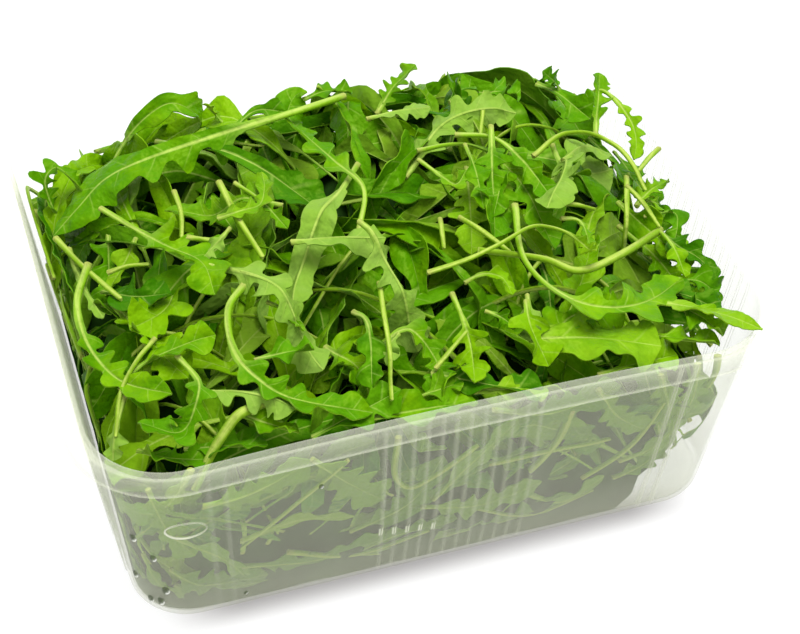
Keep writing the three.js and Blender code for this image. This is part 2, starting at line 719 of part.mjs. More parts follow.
    route: [[38, -22], [34, -42], [44, -59], [60, -62], [82, -50]] },
  { name: 'stalk_right_upright', ...STALK, route: [[81, -8], [77, -18], [73, -28]] },
  { name: 'stalk_right_arch', ...STALK, lift: 4, route: [[54, 4], [68, 10], [80, 0], [84, -16]] },
  { name: 'stalk_right_thick', ...STALK, lift: 3,
    route: [[87, -32], [75, -38], [57, -48], [42, -49], [28, -44]] },
  { name: 'stalk_ribbon', colour: 'stalk', half: 4, stalk: 0.75, lobes: 1,
    route: [[4, -42], [26, -40], [42, -34], [54, -36], [54, -47]] },
  { name: 'stalk_front_bright', ...STALK, route: [[-15, -43], [-16, -58], [-16, -77]] },
];

// Materials

function leafMaterial(colour) {
  return new THREE.MeshStandardMaterial({ color: COLOURS[colour], roughness: 0.5, metalness: 0 });
}

function clearPlastic() {
  const look = { color: 0xf2f5f2, roughness: 0.15, metalness: 0, transparent: true, opacity: 0.35 };
  return new THREE.MeshStandardMaterial(look);
}

function add(name, body, material) {
  const mesh = new THREE.Mesh(toGeometry(body), material);
  mesh.name = name;
  group.add(mesh);
}

const group = new THREE.Group();
add('tub', ribbedTub(), clearPlastic());
mapTub();
const packed = packedLeaves();
mapBody(packed);
add('packed_leaves', packed, leafMaterial('dark'));
for (const plan of TOP) {
  add(plan.name, topLeaf(plan), leafMaterial(plan.colour));
}

export default group;
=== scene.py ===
# %% [markdown]
# # A tub of arugula leaves
# The real object is a clear plastic salad tub, heaped with loose arugula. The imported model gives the
# tub and 49 bodies of leaves at their true size and place. This lesson dresses them: a thin moulded
# tub with its ribs, and leaves with lobes, veins and curled edges, each where its body lies.

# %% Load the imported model
import math
from collections import defaultdict
import bpy
import numpy as np
from mathutils import Matrix, Vector
from mathutils.bvhtree import BVHTree


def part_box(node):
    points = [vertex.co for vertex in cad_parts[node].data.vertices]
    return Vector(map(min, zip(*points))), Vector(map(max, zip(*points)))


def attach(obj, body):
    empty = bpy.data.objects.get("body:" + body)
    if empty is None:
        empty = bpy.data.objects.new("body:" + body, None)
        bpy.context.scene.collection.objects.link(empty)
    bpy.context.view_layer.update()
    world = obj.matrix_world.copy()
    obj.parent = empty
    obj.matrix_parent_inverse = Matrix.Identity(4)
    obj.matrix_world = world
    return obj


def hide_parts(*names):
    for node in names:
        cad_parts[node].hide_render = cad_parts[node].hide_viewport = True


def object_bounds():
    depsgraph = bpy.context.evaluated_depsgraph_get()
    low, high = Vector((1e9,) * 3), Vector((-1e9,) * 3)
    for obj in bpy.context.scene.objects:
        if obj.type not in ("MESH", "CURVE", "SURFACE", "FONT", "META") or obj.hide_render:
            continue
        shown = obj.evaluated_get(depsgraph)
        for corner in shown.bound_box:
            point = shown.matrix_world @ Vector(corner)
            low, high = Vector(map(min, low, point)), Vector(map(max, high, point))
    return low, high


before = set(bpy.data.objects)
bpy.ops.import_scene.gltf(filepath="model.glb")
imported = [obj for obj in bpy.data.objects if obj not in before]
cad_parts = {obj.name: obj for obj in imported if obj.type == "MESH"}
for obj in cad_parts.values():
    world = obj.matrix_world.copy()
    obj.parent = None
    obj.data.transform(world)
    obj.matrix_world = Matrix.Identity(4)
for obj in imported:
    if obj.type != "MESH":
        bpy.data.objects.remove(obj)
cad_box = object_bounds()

MM = 0.001


def add_object(name, data):
    """A new object of the scene that shows the mesh, light or camera."""
    made = bpy.data.objects.new(name, data)
    bpy.context.scene.collection.objects.link(made)
    return made


print("nodes:", len(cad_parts), "box in metres:", cad_box)

# %% [markdown]
# ## The camera
# The tub was photographed from the front left, from about 45 degrees above, with a long lens. A
# camera matrix is built from the direction it looks in and its own up direction, so that the small
# roll of the photograph is kept too.

# %% Place the camera
CAMERA_AT = Vector((-133.6, -415.7, 458.3)) * MM
CAMERA_AHEAD = Vector((0.2349, 0.6759, -0.6985)).normalized()
CAMERA_UP = Vector((0.1987, 0.6700, 0.7152)).normalized()
LENS_MM = 85.8

camera_right = CAMERA_AHEAD.cross(CAMERA_UP)
camera_turn = Matrix((camera_right, CAMERA_UP, -CAMERA_AHEAD)).transposed().to_4x4()
camera_data = bpy.data.cameras.new("camera")
camera_data.lens = LENS_MM
camera_data.sensor_width = 36.0
camera = add_object("camera", camera_data)
camera.matrix_world = Matrix.Translation(CAMERA_AT) @ camera_turn
bpy.context.scene.camera = camera
print("camera stands", round(CAMERA_AT.length, 3), "m from the middle of the foot")

# %% [markdown]
# ## Light and floor
# The picture was taken on a white table with light from everywhere, a little stronger from above and
# behind. A white world gives the even light, and one large lamp gives the leaves their bright backs.
# The floor is stage, not a part of the object.

# %% Light the stage
WORLD_STRENGTH = 0.85
KEY_WATTS = 20.0
KEY_SIZE = 0.7
KEY_AT = Vector((0.2, 0.05, 1.25))

world = bpy.data.worlds.new("white_room")
world.use_nodes = True
sky = world.node_tree.nodes["Background"].inputs
sky["Color"].default_value = (1, 1, 1, 1)
sky["Strength"].default_value = WORLD_STRENGTH
bpy.context.scene.world = world
bpy.context.scene.view_settings.view_transform = "Standard"

key_data = bpy.data.lights.new("key", "AREA")
key_data.energy = KEY_WATTS
key_data.size = KEY_SIZE
key = add_object("key", key_data)
key.location = KEY_AT
key.rotation_euler = (-KEY_AT).to_track_quat("-Z", "Y").to_euler()
print("key lamp", KEY_WATTS, "W,", KEY_SIZE, "m wide")

# %% [markdown]
# ## Helpers for meshes and materials
# Every piece here is made of quads on a grid, so one function turns arrays of points and faces into a
# mesh object, with numbers for its material on each point. Short functions show a piece in place of
# the nodes it stands for, close a round grid at its ends, and add and link the nodes of a material.

# %% Make a mesh from arrays
def mesh_piece(name, points, faces, marks, material, sharp_degrees=50):
    mesh = bpy.data.meshes.new(name)
    mesh.vertices.add(len(points))
    mesh.vertices.foreach_set("co", (points * MM).astype(np.float32).ravel())
    mesh.loops.add(4 * len(faces))
    mesh.loops.foreach_set("vertex_index", faces.astype(np.int32).ravel())
    mesh.polygons.add(len(faces))
    mesh.polygons.foreach_set("loop_start", np.arange(0, 4 * len(faces), 4, dtype=np.int32))
    mesh.update(calc_edges=True)
    for mark, values in marks.items():
        data = mesh.attributes.new(mark, "FLOAT", "POINT").data
        data.foreach_set("value", values.astype(np.float32))
    mesh.polygons.foreach_set("use_smooth", np.ones(len(faces), dtype=bool))
    mesh.set_sharp_from_angle(angle=math.radians(sharp_degrees))
    mesh.materials.append(material)
    return add_object(name, mesh)


def stand_in(piece, slot, *nodes):
    """The piece rides on the body and is shown in place of the nodes; the slot is not used."""
    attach(piece, "root")
    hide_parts(*nodes)
    return piece


def unit(values):
    return np.clip(values, 0, 1)


def grid_faces(rows, columns, first=0, closed=False, looped=False):
    """Quads between the points of a grid, closed round its columns or looped over its rows."""
    across = columns if closed else columns - 1
    i, j = np.meshgrid(np.arange(rows if looped else rows - 1), np.arange(across), indexing="ij")
    near, far = i * columns, (i + 1) % rows * columns
    k = (j + 1) % columns
    return first + np.stack([near + j, near + k, far + k, far + j], axis=-1).reshape(-1, 4)


def capped(points, columns, ends):
    """Points and faces of a round grid that one more point closes at each end."""
    count, pairs = len(points), np.arange(0, columns, 2)
    faces = [grid_faces(count // columns, columns, closed=True)]
    for end, first, turn in ((count, 0, 1), (count + 1, count - columns, -1)):
        fan = [first + (pairs + 2) % columns, first + pairs + 1, first + pairs]
        faces.append(np.stack([np.full(len(pairs), end)] + fan[::turn], axis=-1))
    return np.concatenate([points, ends]), np.concatenate(faces)


# %% Add nodes
def new_material(name):
    material = bpy.data.materials.new(name)
    material.use_nodes = True
    material.node_tree.nodes.clear()
    return material, material.node_tree


def node(tree, kind, inputs, **settings):
    made = tree.nodes.new("ShaderNode" + kind)
    for key, value in settings.items():
        setattr(made, key, value)
    for key, value in inputs.items():
        if isinstance(value, bpy.types.NodeSocket):
            tree.links.new(value, made.inputs[key])
        else:
            made.inputs[key].default_value = value
    return made


def mark(tree, name):
    return node(tree, "Attribute", {}, attribute_name=name).outputs["Fac"]


def calc(tree, kind, a, b=0.0, c=0.0):
    return node(tree, "Math", {0: a, 1: b, 2: c}, operation=kind).outputs[0]


def times(tree, a, b):
    return calc(tree, "MULTIPLY", a, b)


def blend(tree, share, a, b, kind="MIX"):
    settings = {"data_type": "RGBA", "blend_type": kind}
    return node(tree, "Mix", {0: share, 6: a, 7: b}, **settings).outputs[2]


def ramp(tree, value, low, high, start=0.0, end=1.0):
    inputs = {"Value": value, "From Min": low, "From Max": high, "To Min": start, "To Max": end}
    return node(tree, "MapRange", inputs, interpolation_type="SMOOTHSTEP").outputs["Result"]


def noise(tree, place, scale, detail):
    return node(tree, "TexNoise", {"Vector": place, "Scale": scale, "Detail": detail}).outputs["Fac"]


def own_place(tree):
    return node(tree, "TexCoord", {}).outputs["Object"]


def combined(tree, axes):
    return node(tree, "CombineXYZ", axes).outputs[0]


def bump(tree, height, distance, **inputs):
    return node(tree, "Bump", {"Height": height, "Distance": distance, **inputs}).outputs["Normal"]


def surface(tree, inputs):
    return node(tree, "BsdfPrincipled", inputs).outputs[0]


def shown(tree, shader):
    node(tree, "OutputMaterial", {"Surface": shader})


print("helpers ready")

# %% [markdown]
# ## The tub's plastic
# Thin polypropylene lets most light through and scatters the rest, so it looks like a faint milk
# white film: weak face on, stronger where the wall is seen at a slant, at the thick rim and on the
# ribs. Two faces of the wall each carry a low alpha. Glass that bends light would darken the leaves.

# %% Mix the plastic
FACE_ON_ALPHA = 0.16
SLANT_ALPHA = 0.34
# The film's milk white is the plastic's own; its yellow-green tint is painted light from the leaves.
PLASTIC_AND_LEAF_LIGHT_COLOUR = (0.73, 0.76, 0.585, 1)


def clear_plastic():
    material, tree = new_material("clear_plastic_skin")
    slant = node(tree, "LayerWeight", {"Blend": 0.35}).outputs["Facing"]
    place = own_place(tree)
    cloud, grain = noise(tree, place, 35.0, 3.0), noise(tree, place, 160.0, 2.0)
    film = ramp(tree, slant, 0.3, 1.0, FACE_ON_ALPHA, SLANT_ALPHA)
    haze = calc(tree, "MULTIPLY_ADD", cloud, 0.04, -0.02)
    # The haze that the points carry is partly the real haze of the thick rim and ribs, partly painted
    # highlights and a painted reflection.
    alpha = calc(tree, "ADD", calc(tree, "ADD", film, haze), mark(tree, "haze"))
    shown(tree, surface(tree, {
        "Base Color": PLASTIC_AND_LEAF_LIGHT_COLOUR, "Alpha": alpha, "IOR": 1.49, "Specular IOR Level": 0.35,
        "Roughness": ramp(tree, cloud, 0.3, 0.7, 0.12, 0.24), "Normal": bump(tree, grain, 0.00001)}))
    return material


PLASTIC = clear_plastic()
print("plastic alpha from", FACE_ON_ALPHA, "to", SLANT_ALPHA)

# %% [markdown]
# ## The tub
# The real tub is moulded in one piece: a foot with a rounded edge, walls that lean out, ribs that
# stiffen them, and a rolled rim. One closed profile is carried round a rounded rectangle. The columns
# stand close together where ribs are and far apart on the plain wall. The thin front wall gives way a
# little to its fill: its top edge bends in and its middle bulges out.

# %% Read the tub's sizes
TUB_LOW, TUB_HIGH = (np.array(corner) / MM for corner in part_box("tub"))
FLANGE = 6.0
CREST_UP = 0.4
CREST_OUT = 3.6
TAPER = 9.0
WALL = 0.8
SKIRT = 4.0
FOOT_FILLET = 1.0
MOUTH_RADIUS = 23.0
CORNER_SHRINK, LEAST_RADIUS = 0.65, 6.0
BOW, BULGE = 1.7, 2.0
BOW_HALF, BOW_FROM, BOW_DEEP = 77.0, 30.0, 40.0
MOUTH_X, MOUTH_Y = (TUB_HIGH - TUB_LOW)[:2] - 2 * FLANGE
TUB_HEIGHT = TUB_HIGH[2] - CREST_UP
print("mouth", MOUTH_X.round(1), "by", MOUTH_Y.round(1), "mm, height", TUB_HEIGHT.round(1), "mm")

# %% Walk round the mouth
FLATS = [MOUTH_X - 2 * MOUTH_RADIUS, MOUTH_Y - 2 * MOUTH_RADIUS]
QUARTER = math.pi / 2 * MOUTH_RADIUS
ROUND = 2 * sum(FLATS) + 4 * QUARTER


def lean(z):
    """How far the wall stands in at height z."""
    return TAPER * np.clip(1 - z / TUB_HEIGHT, 0, None)


def corner_radius(grow):
    """The corners' radius on an outline grown by grow: they tighten more slowly than it shrinks."""
    inwards = np.maximum(CORNER_SHRINK * grow, LEAST_RADIUS - MOUTH_RADIUS)
    return MOUTH_RADIUS + np.where(grow > 0, grow, inwards)


def bowed(points):
    """The points, those near the front wall moved as it bends: its top edge in, its middle out."""
    along = unit(1 - (points[..., 0] / BOW_HALF) ** 2)
    near = unit((-points[..., 1] - BOW_FROM) / BOW_DEEP)
    up = unit(points[..., 2] / TUB_HEIGHT)
    bend = along * near * (BOW * up - 4 * BULGE * up * (1 - up))
    return points + np.stack([0 * bend, bend, 0 * bend], axis=-1)


def mouth_place(c, grow, z):
    """Points round the mouth's outline grown by grow, at distances c from the middle of the front."""
    c, grow, z = np.broadcast_arrays(np.asarray(c, float), grow, z)
    radius = corner_radius(grow)
    halves = [MOUTH_X / 2 + grow - radius, MOUTH_Y / 2 + grow - radius]
    left = (c + FLATS[0] / 2) % ROUND
    x, y = np.zeros(c.shape), np.zeros(c.shape)
    start = 0.0
    for side in range(4):
        flat = FLATS[side % 2]
        along, across = halves[side % 2], halves[(side + 1) % 2]
        turn = side * math.pi / 2
        on_flat = (left >= start) & (left < start + flat)
        on_corner = (left >= start + flat) & (left < start + flat + QUARTER)
        angle = np.clip((left - start - flat) / MOUTH_RADIUS, 0, math.pi / 2)
        flat_x = (2 * (left - start) / flat - 1) * along
        local_x = np.where(on_flat, flat_x, along + radius * np.sin(angle))
        local_y = np.where(on_flat, -across - radius, -across - radius * np.cos(angle))
        here = on_flat | on_corner
        x = np.where(here, local_x * math.cos(turn) - local_y * math.sin(turn), x)
        y = np.where(here, local_x * math.sin(turn) + local_y * math.cos(turn), y)
        start += flat + QUARTER
    return bowed(np.stack([x, y, z], axis=-1))


def in_wall(c, inset, z):
    """Points round the tub at height z, inset from the inner face of its wall."""
    return mouth_place(c, -lean(z) - inset, z)


def from_front(c):
    """Distances round the mouth, counted from the middle of the front to either side."""
    return (c + ROUND / 2) % ROUND - ROUND / 2


def confined(points, gap):
    """The points, those too near the wall pushed in until they are a gap away from it."""
    inset = lean(points[:, 2]) + gap
    radius = corner_radius(-inset)
    halves = np.stack([MOUTH_X / 2 - inset - radius, MOUTH_Y / 2 - inset - radius], axis=-1)
    over = np.abs(points[:, :2]) - halves
    corner = np.maximum(over, 0)
    reach = np.linalg.norm(corner, axis=1)
    excess = np.maximum(reach - radius, 0)
    push = corner * (excess / np.maximum(reach, 1e-6))[:, None]
    pushed = points.copy()
    pushed[:, :2] -= np.sign(points[:, :2]) * push
    return bowed(pushed)


print("once round the mouth:", round(ROUND), "mm")

# %% Find the ribs
RIB_WIDTH = 2.3
RIB_STAND = 0.8
LONG_PITCH, LONG_COUNT, LONG_MIDDLE = 4.2, 12, 2.0
SHORT_PITCH, SHORT_COUNT = 4.4, 27
PAIR_AT, PAIR_PITCH = 67.0, 4.6
RIB_COLUMNS = 7
FLAT_COLUMNS, CORNER_COLUMNS = 8, 20


def rib_places():
    """Where each rib stands, as a distance round the mouth."""
    places = []
    for side in range(4):
        long = side % 2 == 0
        count, pitch = (LONG_COUNT, LONG_PITCH) if long else (SHORT_COUNT, SHORT_PITCH)
        shift = LONG_MIDDLE if long else 0
        along = [shift + (i - (count - 1) / 2) * pitch for i in range(count)]
        if long:
            along += [-PAIR_AT - PAIR_PITCH, -PAIR_AT, PAIR_AT, PAIR_AT + PAIR_PITCH]
        middle = side // 2 * ROUND / 2 + (0 if long else ROUND / 4)
        places += [middle + x for x in along]
    return np.array(places)


RIBS = rib_places()


def tub_columns():
    """Distances round the mouth where the tub has a column of points."""
    columns = []
    for rib in RIBS:
        columns += list(rib + np.linspace(-0.5, 0.5, RIB_COLUMNS) * RIB_WIDTH)
    start = -FLATS[0] / 2
    for side in range(4):
        flat = FLATS[side % 2]
        for length, count in ((flat, FLAT_COLUMNS), (QUARTER, CORNER_COLUMNS)):
            columns += list(np.linspace(start, start + length, count, endpoint=False))
            start += length
    columns = np.sort(np.array(columns) % ROUND)
    return columns[np.diff(columns, append=columns[0] + ROUND) > 0.05]


COLUMNS = tub_columns()
print(len(RIBS), "ribs,", len(COLUMNS), "columns")

# %% Draw the wall's profile
RIB_FOOT, RIB_STEP, RIB_TOP = 2.0, 21.5, 72.4
LOW_ROWS, HIGH_ROWS = [RIB_FOOT, 3.2, 6, 9, 13], [32, 40, 50, 60, 68, 70.5, RIB_TOP]
OUTER_ROWS = LOW_ROWS + list(np.arange(18, 27.5, 0.9)) + HIGH_ROWS
INNER_ROWS = LOW_ROWS + [RIB_STEP - 0.4, RIB_STEP + 0.4] + HIGH_ROWS
LINE_HAZE, TOP_HAZE, EDGE_HAZE = 0.08, 0.03, 0.02
BAND_HAZE, SKIRT_HAZE, RIM_INSIDE = -0.07, 0.06, -0.09
SKIRT_END = [(FLANGE - WALL, 0.6, RIM_INSIDE), (FLANGE - WALL + 0.1, 0, SKIRT_HAZE),
             (FLANGE, 0, SKIRT_HAZE), (FLANGE, 0.4, EDGE_HAZE)]
RIM_TOP = [(CREST_OUT, CREST_UP, LINE_HAZE), (CREST_OUT - 0.4, 0.36, LINE_HAZE),
           (CREST_OUT - 0.8, 0.1, TOP_HAZE), (0.9, 0, TOP_HAZE), (0.5, 0, LINE_HAZE),
           (0, -0.4, LINE_HAZE), (-0.2, -0.9, 0.03), (-0.35, -2.2, 0.0)]


def arc(centre, radius, start, end, count):
    """Points [grow, z] on an arc, angles in degrees from +grow towards +z."""
    angles = np.radians(np.linspace(start, end, count))
    return [[centre[0] + radius * math.cos(a), centre[1] + radius * math.sin(a)] for a in angles]


def rib_share(z):
    """How much of its full stand a rib has at height z: a low foot, a step and a rounded top."""
    low = 0.7 if z < RIB_STEP else 1.0
    return low * min(1.0, max(0.0, (RIB_TOP - z) / 2.5)) * min(1.0, z - RIB_FOOT)


def tub_profile():
    """The closed wall as [grow, z, share of the rib's stand, haze], from under the foot to inside it."""
    r, top = FOOT_FILLET, TUB_HEIGHT
    foot_in = WALL - lean(0) - r
    foot = (foot_in - 0.2, r)
    rows = [[foot_in, 0, 0, 0.04]]
    rows += [[g, z, 0, LINE_HAZE if z < 0.5 else EDGE_HAZE] for g, z in arc(foot, r, -80, -10, 6)]
    rows += [[WALL - lean(z), z, rib_share(z), 0.0] for z in OUTER_ROWS]
    rows.append([WALL, top - 2.0, 0, 0.0])
    rows += [[g, z, 0, RIM_INSIDE] for g, z in arc((FLANGE - 2.2, top - 2.2), 1.4, 100, 30, 4)]
    rows += [[g, top - SKIRT + up, 0, haze] for g, up, haze in SKIRT_END]
    rows += [[g, z, 0, BAND_HAZE] for g, z in arc((FLANGE - 2.4, top - 2.0), 2.4, 0, 75, 5)]
    rows += [[g, top + up, 0, haze] for g, up, haze in RIM_TOP]
    rows += [[-lean(z), z, rib_share(z), 0.0] for z in INNER_ROWS[::-1]]
    rows += [[g - WALL, z + WALL, 0, EDGE_HAZE] for g, z in arc(foot, r, -10, -80, 5)]
    rows.append([foot_in - WALL, WALL, 0, EDGE_HAZE])
    return rows


# %% Mould the tub
# Painted glints: short pairs of whiter lines on the ribs left of the front's middle, lower from left to
# right.
GLINTS = (-22.5, -2.5)
GLINT_APART = 0.38
GLINT_HIGH, GLINT_LOW, GLINT_HALF = 25.0, 21.0, 1.7
PAINTED_GLINT = 0.7
STRIPE_APART = 0.77
LINE_HALF = 0.2
RIB_HAZE = 0.1
RIB_HIGHLIGHT_LINE = 0.15
OTHER_WALLS, PAST_FLAT = 0.3, 10.0
PAIR_MIDDLE, PAIR_HALF = PAIR_AT + 2.0, 6.0
LEFT_PAIR, RIGHT_PAIR = 0.4, 2.8
FLOOR_REFLECTION_HAZE = 0.13
FOOT_HAZE = 0.03
CAP_SHARES = (0.55, 0.0)
MIDDLE_GROW, MIDDLE_RING = -60, 0.004


def build_tub():
    aside = from_front(COLUMNS[:, None] - RIBS[None, :])
    gap = np.abs(aside).min(axis=1)
    # A painted highlight line runs down the right edge of each rib.
    highlit_edge = np.abs(aside - STRIPE_APART).min(axis=1) < LINE_HALF
    ridge = np.cos(np.clip(gap / RIB_WIDTH, 0, 0.5) * math.pi) ** 2
    around = from_front(COLUMNS)
    glints = (np.abs(gap - GLINT_APART) < LINE_HALF) & (around > GLINTS[0]) & (around < GLINTS[1])
    glint_height = np.interp(around, GLINTS, (GLINT_HIGH, GLINT_LOW))
    # Rib haze and the painted rib lines are strongest on the front and at the right pair, weak at the
    # left pair and on the other walls.
    wall_share = np.where(np.abs(around) < FLATS[0] / 2 + PAST_FLAT, 1.0, OTHER_WALLS)
    for middle, value in ((PAIR_MIDDLE, RIGHT_PAIR), (-PAIR_MIDDLE, LEFT_PAIR)):
        wall_share = np.where(np.abs(around - middle) < PAIR_HALF, value, wall_share)
    rings, hazes = [], []
    for grow, z, share, haze in tub_profile():
        rings.append(mouth_place(COLUMNS, grow + RIB_STAND * share * ridge, z))
        outer = share > 0 and grow > -lean(z) + 0.1
        # The painted glints make these few points whiter.
        bright = PAINTED_GLINT * outer * glints * (np.abs(z - glint_height) < GLINT_HALF)
        ribbed = min(1.0, share) * wall_share * (RIB_HAZE * ridge ** 2 + RIB_HIGHLIGHT_LINE * highlit_edge)
        # The ribbed rows are painted whiter towards the foot: a painted reflection of the white floor.
        low = FLOOR_REFLECTION_HAZE * max(0.0, 1 - z / RIB_STEP) if share else 0.0
        hazes.append(haze + ribbed + bright + low)
    flat = np.full(len(COLUMNS), FOOT_HAZE)
    for share in CAP_SHARES:
        rings.insert(0, rings[0] * [share, share, 0])
        rings.append(rings[-1] * [share, share, 1])
        hazes = [flat] + hazes + [flat]
    for end in (0, -1):
        rings[end] = rings[end] + mouth_place(COLUMNS, MIDDLE_GROW, 0) * MIDDLE_RING
    faces = grid_faces(len(rings), len(COLUMNS), closed=True)
    marks = {"haze": np.concatenate(hazes)}
    return mesh_piece("tub_moulded", np.concatenate(rings), faces, marks, PLASTIC)


tub = stand_in(build_tub(), "clear_plastic", "tub")
print("tub:", len(tub.data.polygons), "faces")

# %% [markdown]
# ## The oval mark and the drops
# A low oval ring is moulded into the wall near the front left corner, and a few drops of water cling
# to the plastic below it. The ring is a thin round wire on the wall, and each drop is a small dome.
# The ring carries a painted highlight at its lower left; each drop is painted dark in its middle and
# carries a painted highlight at its lower right.

# %% Add the ring and the drops
OVAL_AT = (-79.0, 46.2)
OVAL_HALF = (6.2, 3.6)
OVAL_WIRE = 0.32
OVAL_STEPS, WIRE_STEPS = 56, 8
DROPS = [(-89.0, 14.0, 1.5), (-96.5, 6.0, 1.4), (-92.0, 7.0, 1.5), (-97.0, 38.5, 1.3),
         (-101.5, 16.0, 1.3), (-91.0, 31.0, 1.2), (-63.0, 6.5, 0.7), (-39.5, 53.5, 0.8)]
DROP_ROWS, DROP_COLUMNS = 7, 14
DROP_STAND = 0.4
DROP_TALL = 1.3


def water():
    """A drop is painted dark green in its middle, the leaves seen through it, and painted bright at its
    lower right, a painted highlight.
    """
    material, tree = new_material("water_drop_skin")
    colour = blend(tree, mark(tree, "haze"), (0.05, 0.08, 0.02, 1), (0.9, 0.92, 0.85, 1))
    alpha = calc(tree, "MULTIPLY_ADD", mark(tree, "haze"), 0.4, 0.45)
    shown(tree, surface(tree, {"Base Color": colour, "Alpha": alpha, "Roughness": 0.08, "IOR": 1.33}))
    return material


def turns(count):
    return np.linspace(0, 2 * math.pi, count, endpoint=False)


def oval_ring():
    turn, round_wire = turns(OVAL_STEPS)[:, None], turns(WIRE_STEPS)[None, :]
    reach = OVAL_WIRE * np.cos(round_wire)
    c = OVAL_AT[0] + (OVAL_HALF[0] + reach) * np.cos(turn)
    z = OVAL_AT[1] + (OVAL_HALF[1] + reach) * np.sin(turn)
    points = mouth_place(c, WALL - lean(z) + OVAL_WIRE * np.sin(round_wire), z).reshape(-1, 3)
    # The ring's plastic is painted whiter at its lower left: a painted highlight.
    lit = np.clip(0.4 - 0.35 * np.cos(turn) - 0.4 * np.sin(turn), 0.05, 0.8) + 0 * round_wire
    faces = grid_faces(OVAL_STEPS, WIRE_STEPS, closed=True, looped=True)
    return points, faces, {"haze": lit.ravel()}


def drop(c, z, radius):
    """A small dome of water on the wall, thinner than it is wide."""
    up = np.linspace(-1, 1, DROP_ROWS)[:, None] * math.pi / 2 * 0.98
    turn = turns(DROP_COLUMNS)[None, :]
    across, high = radius * np.cos(up) * np.cos(turn), radius * np.cos(up) * np.sin(turn)
    out = DROP_STAND * radius * np.sin(up) + 0 * turn
    points = mouth_place(c + across, WALL - lean(z + high) + out, z + DROP_TALL * high)
    points = points.reshape(-1, 3)
    ends = [points[:DROP_COLUMNS].mean(axis=0), points[-DROP_COLUMNS:].mean(axis=0)]
    # The lower right of each drop is marked for the painted highlight.
    lit = np.where(across - high > 0.55 * radius, 1.0, 0.0) + 0 * out
    return *capped(points, DROP_COLUMNS, ends), {"haze": np.append(lit, [0, 0])}


def outward(points, faces):
    """The faces, turned so that they look out of the body."""
    a, b, c, d = (points[faces[:, k]] for k in range(4))
    volume = np.einsum("ij,ij->", a, np.cross(b, c)) + np.einsum("ij,ij->", a, np.cross(c, d))
    return faces if volume > 0 else faces[:, ::-1]


def joined(bodies):
    """One set of points, faces and marks from those of many bodies."""
    start, all_faces = 0, []
    for points, faces, marks in bodies:
        all_faces.append(outward(points, faces) + start)
        start += len(points)
    marks = {name: np.concatenate([body[2][name] for body in bodies]) for name in bodies[0][2]}
    return np.concatenate([body[0] for body in bodies]), np.concatenate(all_faces), marks


ring = mesh_piece("tub_ring", *joined([oval_ring()]), PLASTIC)
drops = mesh_piece("tub_drops", *joined([drop(*place) for place in DROPS]), water())
for detail in (ring, drops):
    stand_in(detail, "clear_plastic", "tub")
print("oval ring", [2 * half for half in OVAL_HALF], "mm and", len(DROPS), "drops")

# %% [markdown]
# ## The leaf's finish
# An arugula blade is a fresh mid green above and paler and duller below. A pale midrib runs from the
# stalk to the tip, side veins run out into the lobes, and the light of the sky glows through the thin
# blade. The material reads numbers that each leaf's points carry: how far along the leaf and how far
# from its midrib a point lies, in millimetres, and where its side veins run.

# %% Mix the leaf's finish
SHEEN = (0.85, 1.0, 0.12, 1)
CUT_END = (0.42, 0.40, 0.12, 1)
GLOW = (1.0, 1.0, 0.3, 1)
GLOW_SHARE = 0.3
RIB_PALE = (0.50, 0.64, 0.14)
LEAF_COLOURS = {
    "green": [(0.20, 0.43, 0.002), (0.083, 0.275, 0.001), (0.20, 0.37, 0.02), RIB_PALE],
    # dark: a darker green, which the heap's deep layers take as painted shade.
    "dark": [(0.10, 0.31, 0.002), (0.04, 0.18, 0.001), (0.14, 0.29, 0.012), RIB_PALE],
    "pale": [(0.18, 0.39, 0.005), (0.08, 0.24, 0.003), (0.25, 0.43, 0.06), RIB_PALE],
    "lime": [(0.22, 0.44, 0.008), (0.12, 0.32, 0.004), (0.27, 0.44, 0.02), RIB_PALE],
    "stalk": [(0.20, 0.39, 0.005), (0.10, 0.25, 0.003), (0.26, 0.43, 0.02), (0.52, 0.64, 0.13)],
}
LEAF_MARKS = ("along", "across", "rib", "vein", "under", "tint", "stalk")


